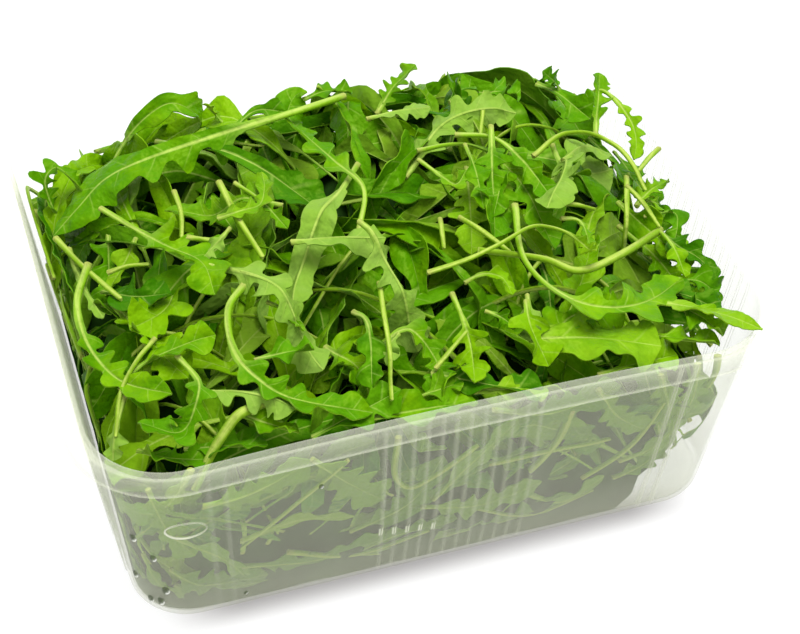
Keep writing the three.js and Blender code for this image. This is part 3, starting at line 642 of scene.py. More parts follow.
def leaf_finish(name, *colours):
    """The finish of a leaf from four colours: light and dark above, the underside, the midrib."""
    material, tree = new_material(name)
    light, dark, dull, rib_pale = [(*colour, 1) for colour in colours]
    along, across, rib, vein, under, tint, stalk = [mark(tree, m) for m in LEAF_MARKS]
    flat = combined(tree, {0: along, 1: across})
    shift = combined(tree, {2: times(tree, tint, 40.0)})
    place = node(tree, "VectorMath", {0: flat, 1: shift}).outputs[0]
    blotch, fine = noise(tree, place, 0.12, 4.0), noise(tree, place, 1.6, 3.0)
    net = node(tree, "TexVoronoi", {"Vector": place, "Scale": 0.5}, feature="DISTANCE_TO_EDGE")

    away = calc(tree, "ABSOLUTE", across)
    in_rib = ramp(tree, calc(tree, "DIVIDE", away, rib), 0.2, 1.25, 1.0, 0.0)
    in_rib = times(tree, in_rib, ramp(tree, rib, 0.1, 0.8, 0.45, 1.0))
    thin = ramp(tree, calc(tree, "PINGPONG", vein, 0.5), 0.46, 0.5)
    thin = times(tree, thin, ramp(tree, away, 0.6, 8.0, 0.3, 0.03))
    mesh_lines = ramp(tree, net.outputs["Distance"], 0.0, 0.1, 0.12, 0.0)
    pale = calc(tree, "MAXIMUM", calc(tree, "MAXIMUM", in_rib, thin), stalk)

    share = ramp(tree, calc(tree, "MULTIPLY_ADD", tint, 0.3, blotch), 0.3, 0.75)
    top = blend(tree, share, dark, light)
    top = blend(tree, mesh_lines, top, light)
    below = blend(tree, ramp(tree, blotch, 0.35, 0.65, 0.0, 0.35), dull, light)
    blade = blend(tree, under, top, below)
    drawn_out = combined(tree, {0: times(tree, along, 0.06), 1: across})
    streaks = noise(tree, drawn_out, 2.2, 3.0)
    rib_colour = blend(tree, ramp(tree, streaks, 0.35, 0.7, 0.0, 0.4), rib_pale, light)
    # On a stalk the middle line stays pale and the flanks turn green: a painted highlight along its
    # middle and painted shade on its sides.
    painted_flank_shade = ramp(tree, calc(tree, "DIVIDE", away, rib), 0.1, 0.95, 0.0, 0.9)
    rib_colour = blend(tree, times(tree, painted_flank_shade, stalk), rib_colour, light)
    cut = times(tree, ramp(tree, along, 0.2, 3.0, 0.55, 0.0), stalk)
    rib_colour = blend(tree, cut, rib_colour, CUT_END)
    colour = blend(tree, pale, blade, rib_colour)

    raised = calc(tree, "MULTIPLY_ADD", under, 2.0, -1.0)
    relief = times(tree, calc(tree, "ADD", thin, mesh_lines), raised)
    relief = calc(tree, "MULTIPLY_ADD", fine, 0.35, relief)
    swell = bump(tree, noise(tree, place, 0.22, 2.0), 0.002, Strength=0.8)
    normal = bump(tree, relief, 0.0002, Strength=0.8, Normal=swell)
    shader = surface(tree, {
        "Base Color": colour, "Roughness": calc(tree, "MULTIPLY_ADD", under, 0.16, 0.38),
        "IOR": 1.4, "Specular IOR Level": 0.3, "Specular Tint": SHEEN, "Normal": normal})
    through = blend(tree, 1.0, colour, GLOW, "MULTIPLY")
    lit = node(tree, "BsdfTranslucent", {"Color": through, "Normal": normal}).outputs[0]
    shown(tree, node(tree, "MixShader", {0: GLOW_SHARE, 1: shader, 2: lit}).outputs[0])
    return material


SLOTS = {colour: colour if colour == "stalk" else "leaf_" + colour for colour in LEAF_COLOURS}
FINISHES = {colour: leaf_finish(slot + "_skin", *LEAF_COLOURS[colour])
            for colour, slot in SLOTS.items()}
print("leaf finishes:", ", ".join(FINISHES))

# %% [markdown]
# ## One leaf
# A leaf is a thin sheet on a spine. The spine is a smooth curve from the stalk's end to the tip. At
# every station the sheet has a row of points across: its half width comes from the outline with its
# lobes, and the row is folded at the midrib and curled towards the edges. An upper and a lower face a
# third of a millimetre apart make it a closed body, thicker along the midrib and round at the stalk.

# %% Draw curves
BETWEEN_POINTS = 40


def curve_through(route, count):
    """A smooth curve through the route's points, as count points at equal steps of length."""
    route = np.array(route, float)
    held = np.concatenate([[2 * route[0] - route[1]], route, [2 * route[-1] - route[-2]]])
    dense = []
    for i in range(len(route) - 1):
        before, start, end, after = held[i:i + 4]
        leave, arrive = (end - before) / 2, (after - start) / 2
        t = np.linspace(0, 1, BETWEEN_POINTS, endpoint=False)[:, None]
        bent = -3 * start + 3 * end - 2 * leave - arrive
        closing = 2 * start - 2 * end + leave + arrive
        dense.append(start + leave * t + bent * t ** 2 + closing * t ** 3)
    dense = np.concatenate(dense + [route[-1:]])
    lengths = np.concatenate([[0], np.cumsum(np.linalg.norm(np.diff(dense, axis=0), axis=1))])
    steps = np.linspace(0, lengths[-1], count)
    return np.stack([np.interp(steps, lengths, column) for column in dense.T], axis=-1)


def stations(stalk, count, stalk_share=0.2):
    """Places along a leaf from 0 to 1, fewer on the stalk than on the blade."""
    first = round(stalk_share * count)
    return np.concatenate([np.linspace(0, stalk, first, endpoint=False),
                           np.linspace(stalk, 1, count - first)])


def slow_wave(random, count, size, waves=1.5):
    """A wave of random size and phase along the leaf, and a slow drift."""
    s = np.linspace(0, 1, count)
    phase, drift = random.uniform(0, 2 * math.pi), random.uniform(-1, 1)
    return size * (0.7 * np.sin(2 * math.pi * waves * s + phase) + 0.5 * drift)


print("curve helpers ready")

# %% Cut the outline
END_LOBE_AT = 0.8


def lobe(q, centre, half, power=3.4):
    """A finger with a round end: 1 in its middle, 0 from half away on."""
    return unit(1 - np.abs((q - centre) / half) ** power) ** 0.5


def softened(values, times=2):
    for _ in range(times):
        padded = np.pad(values, 1, mode="edge")
        values = 0.25 * padded[:-2] + 0.5 * padded[1:-1] + 0.25 * padded[2:]
    return values


def blade_width(random, q, lobes, wing, end_at=END_LOBE_AT):
    """Share of the leaf's half width on one side: a wing along the midrib, fingers, the end lobe."""
    draw = random.uniform
    width = wing * unit(0.5 + q)
    pitch = (end_at - 0.2) / max(lobes, 1)
    for i in range(lobes):
        centre = (i + 0.55 + draw(-0.14, 0.14)) * pitch
        size = (0.7 + 0.5 * centre) * draw(0.75, 1.15)
        half = pitch * draw(0.24, 0.34)
        width = np.maximum(width, size * lobe(q, centre, half))
        tooth = centre + random.choice([-1, 1]) * 0.85 * half
        share = draw(0.25, 0.6)
        width = np.maximum(width, share * size * lobe(q, tooth, 0.45 * half, 1.6))
    past, reach = q - end_at, 1 - end_at
    base = unit(1 - (past / (1.1 * reach)) ** 2) ** 0.8
    tip = unit(1 - (unit(past) / reach) ** 1.7) ** 0.85
    notch = draw(0.15, 0.45) * lobe(q, end_at + draw(-0.06, 0.06), 0.03)
    teeth = 0.04 * np.sin(q * draw(60, 80) + draw(0, 6))
    end = draw(0.7, 0.9) * np.where(past < 0, base, tip) * (1 + teeth - notch)
    return softened(np.maximum(np.where(q > end_at, 0, width), end))


print("outline ready")

# %% Set a leaf's frame and its columns
BLADE = 0.36
THINNEST = 0.06
LOOK = {"half": 9, "stalk": 0.3, "lobes": 3, "wing": 0.28, "fold": 22, "curl": 0.07, "droop": 0.02,
        "wave": 2.2, "sweep": 0.3, "thick": 0.95, "end": END_LOBE_AT, "smooth_side": 0,
        "rumple": 0.5}


def frames_along(spine):
    """Unit vectors along, across and up at each point of the spine."""
    ahead = np.gradient(spine, axis=0)
    ahead /= np.linalg.norm(ahead, axis=1)[:, None]
    across = np.cross(ahead, [0, 0, 1.0])
    for i in range(len(across)):
        if np.linalg.norm(across[i]) < 0.3:
            last = across[i - 1] if i else np.array([1.0, 0, 0])
            across[i] = last - ahead[i] * (last @ ahead[i])
        across[i] /= np.linalg.norm(across[i])
    return ahead, across, np.cross(across, ahead)


def spread(width, rib, stalky, steps):
    """Distances of a side's columns from the midrib: close together at the rib, even on a stalk."""
    j = np.arange(steps + 1)
    inner = 2 if steps > 4 else 1
    near = 1.05 * rib * (j / inner) ** 0.8
    far = 1.05 * rib + (width - 1.05 * rib) * (j - inner) / (steps - inner)
    blade = np.where(j <= inner, near, far)
    round_stalk = width * np.sin(math.pi / 2 * j / steps)
    return np.clip(stalky * round_stalk + (1 - stalky) * blade, 0, width)


def rumples(walked, away, phase):
    """Low swellings of the blade between its side veins, from -1 to 1."""
    wide = np.sin(0.5 * walked + 0.55 * away + phase)
    return 0.6 * wide + 0.4 * np.sin(0.83 * walked - 0.7 * away + 1.7 * phase)


print("sheet helpers ready")

# %% Build a leaf as a thin closed sheet
def leaf_body(random, spine, roll, look, steps=6):
    """Points, faces and marks of one leaf, in millimetres."""
    look = {**LOOK, **look}
    count = len(spine)
    steps_long = np.linalg.norm(np.diff(spine, axis=0, prepend=spine[:1]), axis=1)
    walked = np.cumsum(steps_long)[:, None]
    length = walked[-1, 0]
    s = walked / length
    q = (s - look["stalk"]) / (1 - look["stalk"])
    rib = look["thick"] * np.where(q < 0, 1 - 0.3 * s / look["stalk"], 0.6 - 0.42 * unit(q))
    stalky = unit((0.1 - q) / 0.3)
    if look["lobes"] < 0:
        rib, stalky = look["thick"] * (1 - 0.25 * s), np.ones((count, 1))
    bladed = 1 - stalky
    forward = look["sweep"] * (1 - unit(q))
    ahead, side, up = frames_along(spine)
    sin, cos = np.sin(roll)[:, None], np.cos(roll)[:, None]
    right, above = side * cos + up * sin, up * cos - side * sin

    tops, bottoms, across = [], [], []
    for sign in (-1, 1):
        lobes = 0 if sign == look["smooth_side"] else look["lobes"]
        shape = blade_width(random, q[:, 0], lobes, look["wing"], look["end"])[:, None]
        half = look["half"] * shape if look["lobes"] >= 0 else 0
        winged = rib * (1 + 0.9 * bladed)
        widths = np.where(q > 0, np.maximum(half, winged), winged)
        widths[-1] = 0.3
        away = spread(widths, rib, stalky, steps)
        curl = slow_wave(random, count, look["curl"], random.uniform(0.6, 1.6))[:, None]
        curl = curl - look["droop"]
        slope = math.radians(look["fold"]) * bladed + curl * away
        turn = np.where(np.abs(curl) < 1e-4, 1e-4, curl)
        start = slope - turn * away
        out = (np.sin(slope) - np.sin(start)) / turn
        rise = (np.cos(start) - np.cos(slope)) / turn
        waves = slow_wave(random, count, look["wave"], random.uniform(2.5, 4.5))[:, None]
        rise += bladed * (away / look["half"]) ** 2 * waves
        swelling = look["rumple"] * unit((away - rib) / 2.5)
        rise += bladed * swelling * rumples(walked, away, length + sign)

        middle = (spine[:, None] + right[:, None] * (sign * out)[..., None]
                  + above[:, None] * rise[..., None]
                  + ahead[:, None] * (forward * away)[..., None])
        normal = (above[:, None] * np.cos(slope)[..., None]
                  - right[:, None] * (sign * np.sin(slope))[..., None])
        dome = np.sqrt(unit(1 - (away / np.maximum(rib, away[:, -1:])) ** 2))
        bulge = np.sqrt(unit(1 - (away / rib) ** 2))
        groove = 1 - 0.3 * np.exp(-(away / (0.4 * rib)) ** 2)
        over = stalky * rib * 0.75 * dome * groove + bladed * (BLADE / 2)
        under = stalky * rib * 0.95 * dome + bladed * (BLADE / 2 + 0.7 * rib * bulge)
        order = slice(None, 0, -1) if sign < 0 else slice(None)
        tops.append((middle + normal * np.maximum(over, THINNEST)[..., None])[:, order])
        bottoms.append((middle - normal * np.maximum(under, THINNEST)[..., None])[:, order])
        across.append((sign * away)[:, order])

    top, bottom, across = (np.concatenate(sides, axis=1) for sides in (tops, bottoms, across))
    points = np.concatenate([top.reshape(-1, 3), bottom.reshape(-1, 3)])
    pitch = length * (1 - look["stalk"]) * (look["end"] - 0.2) / max(look["lobes"], 1)
    along = s * length
    first_vein = look["stalk"] * length + 0.25 * look["half"]
    vein = (along - 0.6 * np.abs(across) - first_vein) / pitch + 0.5 + 0.12 * np.sign(across)
    wanted = {"along": along, "across": across, "vein": vein, "rib": rib, "stalk": stalky,
              "tint": random.uniform(-1, 1)}
    marks = {name: np.tile(np.broadcast_to(values, across.shape).ravel(), 2)
             for name, values in wanted.items()}
    marks["under"] = np.repeat([0.0, 1.0], across.size)
    return points, sheet_faces(*across.shape), marks


def sheet_faces(rows, wide):
    """Quads of two facing grids and of the strip that closes them along the edge."""
    below = rows * wide
    top = grid_faces(rows, wide)
    bottom = grid_faces(rows, wide, below)[:, ::-1]
    i, j = np.arange(rows - 1), np.arange(wide - 1)
    left = np.stack([i * wide, (i + 1) * wide, below + (i + 1) * wide, below + i * wide], axis=-1)
    right = left[:, ::-1] + wide - 1
    foot = np.stack([j, below + j, below + j + 1, j + 1], axis=-1)
    tip = foot[:, ::-1] + (rows - 1) * wide
    return np.concatenate([top, bottom, left, right, foot, tip])


def leaf_piece(name, bodies, colour, node_name):
    piece = mesh_piece(name, *joined(bodies), FINISHES[colour])
    return stand_in(piece, SLOTS[colour], node_name)


print("leaf builder ready")

# %% [markdown]
# ## The leaves on top
# These are the leaves that can be told apart in the photograph. Each has its colour, half its width,
# the stalk's share of its length, its lobes on a side and its route in millimetres, from the stalk's
# end to the tip. Where a route is only seen from above, as x and y, its height is read from the body
# that the leaf replaces, by a ray straight down. A bare stalk has -1 lobes. Values that only this leaf
# has, such as a stronger curl or a thicker midrib, follow in braces.

# %% List the top leaves
BARE = 1.5
TOP = {
    "leaf_back_dark": ("dark", 11, 0.2, 0, [(-56, 44), (-36, 26), (-14, -2)],
                       {"thick": 1.2, "curl": 0.03}),
    "leaf_back_fold": ("dark", 9, 0.1, 2, [(30, 14), (37, 28), (42, 42)], {"tilt": 35}),
    "leaf_back_right": ("dark", 11.7, 0.15, 3, [(70, 58), (78, 44), (80, 22)]),
    "leaf_left_arc": ("green", 6.3, 0.35, 3, [(-86, 1, 77), (-92, -10, 72), (-92, -25, 69),
                      (-86, -42, 70), (-74, -54, 73)], {"thick": 1.35}),
    "leaf_left_fan": ("green", 9, 0.15, 3, [(-82, -12), (-76, -30), (-68, -48)]),
    "leaf_front_middle": ("green", 8.1, 0.15, 3, [(-27, -44), (-21, -58), (-20, -72)]),
    "leaf_grey_middle": ("pale", 9, 0.2, 3, [(13, 6), (30, 20), (54, 20)]),
    "leaf_right_curl": ("dark", 7.2, 0.1, 2, [(80, -24), (87, -38), (84, -52)], {"tilt": 20}),
    "leaf_centre_lime": ("lime", 7.2, 0.2, 3, [(33, 6), (28, -12), (23, -28)], {"tilt": -20}),
    "leaf_left_middle": ("green", 9.9, 0.2, 2, [(-60, -4), (-68, -22), (-80, -28)]),
    "leaf_right_grey": ("pale", 9.9, 0.2, 3, [(52, -6), (66, 4), (84, 8)]),
    "leaf_front_rim": ("lime", 5.4, 0.2, 2, [(8, -74), (22, -76), (36, -74)], {"tilt": 25}),
    "leaf_left_lime": ("lime", 7.2, 0.15, 3, [(-28, -4), (-43, 5), (-60, 14)]),
    "leaf_corner_curl": ("green", 5.5, 0.2, 4, [(-87, 36, 66), (-91, 33, 72), (-92, 37, 80),
                         (-88, 39, 83), (-84, 36, 80), (-82, 35, 74)], {"wing": 0.16, "curl": 0.12}),
    "leaf_back_arch": ("green", 7, 0.3, 1, [(-72, 46, 70), (-66, 48, 79), (-59, 48, 88),
                       (-50, 49, 92), (-43, 48, 88), (-40, 47, 82)],
                       {"wing": 0.5, "smooth_side": -1, "thick": 0.9}),
    "leaf_left_trail": ("green", 9.9, 0.4, 3, [(-79, 16, 84), (-65, -6, 85), (-56, -17, 85),
                        (-55, -29, 83)]),
    "leaf_pale_under": ("pale", 7, 0.2, 1, [(0, 12), (-18, -10), (-30, -26), (-35, -38)],
                        {"thick": 1.1, "curl": 0.04, "wing": 0.62}),
    "leaf_pale_flat": ("pale", 8, 0.15, 1, [(-30, -19, 88), (-17, -22, 89), (-3, -25, 88)],
                       {"wing": 0.6, "curl": 0.04}),
    "leaf_right_edge": ("green", 8.1, 0.25, 3, [(76, -16), (84, -34), (86, -52)]),
    "leaf_right_lime": ("lime", 4.5, 0.15, 2, [(82, -15, 71), (89, -10, 72), (96, -8, 72)],
                        {"wing": 0.3}),
    "leaf_right_upright": ("green", 5, 0.2, 2, [(79, 13, 78), (84, 24, 81), (89, 36, 84)]),
    "leaf_right_curly": ("green", 4, 0.4, 3, [(80, 29, 79), (86, 30, 82), (90, 27, 81),
                         (93, 18, 78), (92, 10, 76), (88, 2, 75)], {"wing": 0.3, "curl": 0.25}),
    "leaf_tooth_up": ("lime", 5.4, 0.2, 3, [(14, 38, 82), (20, 43, 86), (26, 46, 89), (30, 48, 91)]),
    "leaf_centre_arch": ("green", 8.1, 0.3, 3, [(18, 10), (35, 7), (45, -9), (47, -34)]),
    "leaf_centre_hang": ("green", 8.1, 0.2, 3, [(41, 8), (36, -8), (29, -30)], {"tilt": 20}),
    "leaf_pale_wave": ("pale", 8.1, 0.2, 3, [(64, 12), (60, -8), (46, -28)], {"tilt": -25}),
    "leaf_midrib": ("pale", 9.9, 0.2, 3, [(-11, -24), (-5, -37), (-1, -52)]),
    "leaf_front_left_arc": ("green", 7.5, 0.4, 3, [(-46, -28, 84), (-53, -36, 83), (-55, -50, 81),
                            (-51, -61, 79), (-42, -69, 75), (-22, -75, 70)], {"thick": 1.3}),
    "leaf_serrated": ("pale", 9, 0.2, 3, [(-56, -16), (-41, -32), (-31, -57)]),
    "stalk_front_kinked": ("stalk", BARE, 0.7, -1, [(-50, -66), (-64, -70), (-74, -76)],
                           {"thick": 1.6}),
    "leaf_front_grey": ("pale", 7.2, 0.2, 2, [(-68, -57), (-56, -63), (-43, -71)]),
    "leaf_front_hook": ("green", 7.2, 0.3, 3, [(-70, -44), (-67, -58), (-74, -67), (-85, -60)]),
    "leaf_front_small_arc": ("green", 7.2, 0.3, 3, [(-16, -57), (-4, -51), (2, -60), (-2, -75)]),
    "leaf_front_drop": ("green", 7.2, 0.35, 2, [(11, -44), (12, -60), (8, -75)]),
    "leaf_front_right_big": ("lime", 13, 0.1, 1, [(28, -64, 74), (40, -68, 75), (51, -71, 74),
                             (64, -76, 73)], {"wing": 0.6, "fold": 4, "curl": 0.03}),
    "leaf_front_right_arch": ("green", 9, 0.2, 2, [(33, -70), (42, -60), (60, -58)]),
    "leaf_corner_point": ("lime", 5.5, 0.2, 0, [(68, -57, 73), (79, -66, 75), (86, -74, 77),
                          (92, -82, 78)],
                          {"curl": 0.02, "wave": 0.5, "fold": 10, "end": 0.45, "wing": 0.5}),
    "stalk_left_pale": ("stalk", BARE, 0.7, -1, [(-44, 10, 91), (-42, -6, 89), (-39, -22, 87)],
                        {"thick": 1.1}),
    "stalk_left_bright": ("stalk", BARE, 0.7, -1, [(-74, -35, 77), (-81, -40, 74), (-87, -46, 69),
                          (-91, -56, 63)], {"thick": 0.8}),
    "leaf_back_long": ("green", 11.5, 0.34, 3, [(4, 39, 91), (-15, 34, 92), (-35, 33, 90),
                       (-60, 31, 87), (-74, 31, 82), (-84, 26, 77), (-93, 22, 71)],
                       {"thick": 1.35, "wing": 0.34, "droop": 0.05, "end": 0.72,
                        "smooth_side": 1, "fold": 4}),
    "leaf_kinked": ("green", 7, 0.35, 3, [(-9, -18, 86), (-3, -3, 89), (-8, 12, 89), (-13, 28, 88),
                    (-15, 38, 88), (-11, 44, 90), (-7, 44, 91)], {"thick": 0.9}),
    "stalk_back_end": ("stalk", BARE, 0.7, -1, [(98, 5, 75), (92, 0, 76), (86, -6, 77)]),
    "leaf_right_arc": ("green", 8.5, 0.45, 2, [(38, -22), (34, -42), (44, -59), (60, -62),
                       (82, -50)], {"thick": 1.15, "wing": 0.35}),
    "stalk_right_upright": ("stalk", BARE, 0.7, -1, [(81, -8), (77, -18), (73, -28)]),
    "stalk_right_arch": ("stalk", BARE, 0.7, -1, [(54, 4), (68, 10), (80, 0), (84, -16)],
                         {"thick": 0.95}),
    "stalk_right_thick": ("stalk", BARE, 0.7, -1, [(85, -27, 71), (66, -40, 77), (50, -46, 80),
                          (40, -41, 83), (22, -35, 86)], {"thick": 1.45}),
    "stalk_ribbon": ("stalk", 3.6, 0.75, 2, [(4, -42), (26, -40), (42, -34), (54, -36), (54, -47)],
                     {"thick": 0.8}),
    "stalk_front_bright": ("stalk", BARE, 0.7, -1, [(-9, -38, 84), (-11, -49, 82), (-13, -61, 79),
                           (-16, -74, 72)], {"thick": 0.85}),
}
print(len(TOP), "top leaves and stalks")

# %% Lay each top leaf where its body lies
TOP_STATIONS = 100
TOP_SEED = 11
BODY_STALK = 1.5
RIM_CLEAR, RIM_EASE = 79.0, 4.0
OVER_THE_RIM = "leaf_corner_point"
EVEN_OUT = 17


def spine_on(name, route, stalk):
    """The leaf's spine in millimetres, at the height of the body called name."""
    flat = curve_through(route, TOP_STATIONS)
    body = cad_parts[name]
    corners = [body.matrix_world @ v.co for v in body.data.vertices]
    tree = BVHTree.FromPolygons(corners, [tuple(p.vertices) for p in body.data.polygons])
    heights = []
    for x, y in flat:
        hit = tree.ray_cast(Vector((x * MM, y * MM, 0.3)), Vector((0, 0, -1)))[0]
        heights.append(hit.z / MM if hit else np.nan)
    heights = np.array(heights)
    steps, found = np.arange(TOP_STATIONS), ~np.isnan(heights)
    heights = np.interp(steps, steps[found], heights[found])
    q = unit((steps / (TOP_STATIONS - 1) - stalk) / (1 - stalk))
    heights -= np.maximum(BLADE, BODY_STALK * (1 - 0.7 * q))
    padded = np.pad(heights, EVEN_OUT // 2, mode="edge")
    smooth = np.convolve(padded, np.ones(EVEN_OUT) / EVEN_OUT, mode="valid")
    return np.column_stack([flat, smooth])


top_pieces = []
for number, (name, plan) in enumerate(TOP.items()):
    colour, half, stalk, lobes, route, *special = plan
    random = np.random.default_rng(TOP_SEED + number)
    look = {"half": half, "stalk": stalk, "lobes": lobes, "tilt": 0}
    look.update(*special)
    has_heights = len(route[0]) == 3
    spine = curve_through(route, TOP_STATIONS) if has_heights else spine_on(name, route, stalk)
    roll = math.radians(look["tilt"]) * unit(np.linspace(-0.2, 2, TOP_STATIONS))
    roll = roll + slow_wave(random, TOP_STATIONS, 0.65, 1.1)
    if colour == "pale":
        roll = roll + math.pi
    points, faces, marks = leaf_body(random, spine, roll, look)
    low = unit((RIM_CLEAR - points[:, 2:]) / RIM_EASE) * (name != OVER_THE_RIM)
    points = points + low * (confined(points, 0.8) - points)
    top_pieces.append(leaf_piece(name + "_fresh", [(points, faces, marks)], colour, name))
print(sum(len(p.data.polygons) for p in top_pieces), "faces in the top leaves")

# %% [markdown]
# ## The heap below
# Below the top leaves lies the rest of the salad. A heap's surface rises from the walls to a mound
# that is higher at the back. Loose leaves are strewn on it in layers, with their ends dipped into the
# heap, each turned and rolled by chance. Leaves that would pass through the wall are pushed inside.

# %% Shape the heap
HEAP_EDGE, HEAP_RISE = 58.0, 20.0
HEAP_RIGHT_DROP, HEAP_BACK_DROP, HEAP_TILT = 14.0, 18.0, 7.0
HEAP_HALF_X, HEAP_HALF_Y = 97.0, 82.0
SLOPES_FROM, RIGHT_SLOPE, BACK_SLOPE = 45.0, 50.0, 35.0
INSIDE_X, INSIDE_Y = 92, 76


def heap_height(x, y):
    across = np.maximum(0, 1 - (x / HEAP_HALF_X) ** 4)
    deep = np.maximum(0, 1 - (y / HEAP_HALF_Y) ** 4)
    right = HEAP_RIGHT_DROP * np.maximum(0, (x - SLOPES_FROM) / RIGHT_SLOPE) ** 1.5
    back = HEAP_BACK_DROP * np.maximum(0, (y - SLOPES_FROM) / BACK_SLOPE)
    tilt = HEAP_TILT * np.clip(y / SLOPES_FROM, -1, 1)
    return HEAP_EDGE + HEAP_RISE * across * deep + tilt - right - back


def height_inside(x, y):
    """The heap's height at x, y, or at its edge for a place beyond it."""
    return heap_height(np.clip(x, -INSIDE_X, INSIDE_X), np.clip(y, -INSIDE_Y, INSIDE_Y))


print("heap is", round(float(heap_height(0.0, 20.0))), "mm high in the middle")

# %% Strew the leaves of the heap
HEAP_SEED = 5
HEAP_STATIONS, LOW_STATIONS, STALK_STATIONS = 54, 32, 24
DETAILED_TO = 8.0
LAYERS = [(2.5, 56), (5.5, 60), (10.0, 58), (15.0, 44)]
STREWN_X, STREWN_Y, SKIP = 178.0, 146.0, 0.618
LOOSE_STALKS = 12
CORNER_LIFT = 28.0
CORNER_X, CORNER_Y, CORNER_WIDE = 50.0, -30.0, 30.0
HEAP_COLOURS = ["green", "green", "dark", "green", "pale", "lime", "dark", "green"]


def strewn_spine(random, x, y, depth, length, s):
    draw = random.uniform
    heading, bend = draw(0, 2 * math.pi), draw(-0.016, 0.016)
    t = s - 0.5
    angle = heading + bend * t * length
    step = np.gradient(t) * length
    px = x + np.cumsum(np.cos(angle) * step) - np.cos(heading) * length / 2
    py = y + np.cumsum(np.sin(angle) * step) - np.sin(heading) * length / 2
    arch = draw(1, 9) * (0.25 - t ** 2) * 4
    foot = draw(6, 26) * unit(-t - 0.05) / 0.45
    tip = draw(-18, 6) * unit(t) ** 2 * 4
    pz = height_inside(px, py) - depth + arch - foot + tip - 4
    pz += slow_wave(random, len(s), 1.5, 1.3)
    corner = unit((px - CORNER_X) / CORNER_WIDE) * unit((CORNER_Y - py) / CORNER_WIDE)
    return np.column_stack([px, py, np.maximum(pz, 4 + CORNER_LIFT * corner)])


def strewn_leaf(random, x, y, depth):
    """A loose leaf with its middle over x, y, or a bare stalk where no depth is given."""
    bare, draw = depth is None, random.uniform
    length = draw(45, 85) if bare else draw(58, 105)
    look = {"half": draw(3.5, 9.5), "stalk": draw(0.1, 0.34), "lobes": int(random.integers(1, 5)),
            "fold": draw(-10, 50), "curl": draw(0.05, 0.17), "wave": draw(1.4, 3.4),
            "wing": draw(0.25, 0.65), "thick": draw(0.45, 0.8)}
    if bare:
        look = {"half": BARE, "stalk": 0.9, "lobes": -1, "thick": draw(0.6, 1.0)}
    low = not bare and depth > DETAILED_TO
    count = STALK_STATIONS if bare else (LOW_STATIONS if low else HEAP_STATIONS)
    s = stations(look["stalk"], count, 0.9 if bare else 0.2)
    spine = strewn_spine(random, x, y, draw(0, 5) if bare else depth, length, s)
    roll = random.normal(0, 0.7) + slow_wave(random, count, 0.9, 0.8)
    if random.random() < 0.25:
        roll = roll + math.pi
    points, faces, marks = leaf_body(random, spine, roll, look, steps=3 if low else 4)
    return confined(points, 2.4), faces, marks


def strew():
    random = np.random.default_rng(HEAP_SEED)
    heaps = defaultdict(list)
    for depth, count in LAYERS:
        for i in range(count):
            x = (((i * SKIP + depth * 0.37) % 1) - 0.5) * STREWN_X
            y = ((i + 0.5) / count - 0.5) * STREWN_Y
            leaf = strewn_leaf(random, x, y, depth + random.uniform(-2, 2))
            # Leaves of the deep layers take the dark finish: painted shade.
            colour = "dark" if depth > DETAILED_TO else HEAP_COLOURS[i % len(HEAP_COLOURS)]
            heaps[colour].append(leaf)
    for _ in range(LOOSE_STALKS):
        x, y = random.uniform(-80, 80), random.uniform(-64, 64)
        heaps["stalk"].append(strewn_leaf(random, x, y, None))
    return heaps


print("heap:", sum(count for _, count in LAYERS), "loose leaves and", LOOSE_STALKS, "stalks")

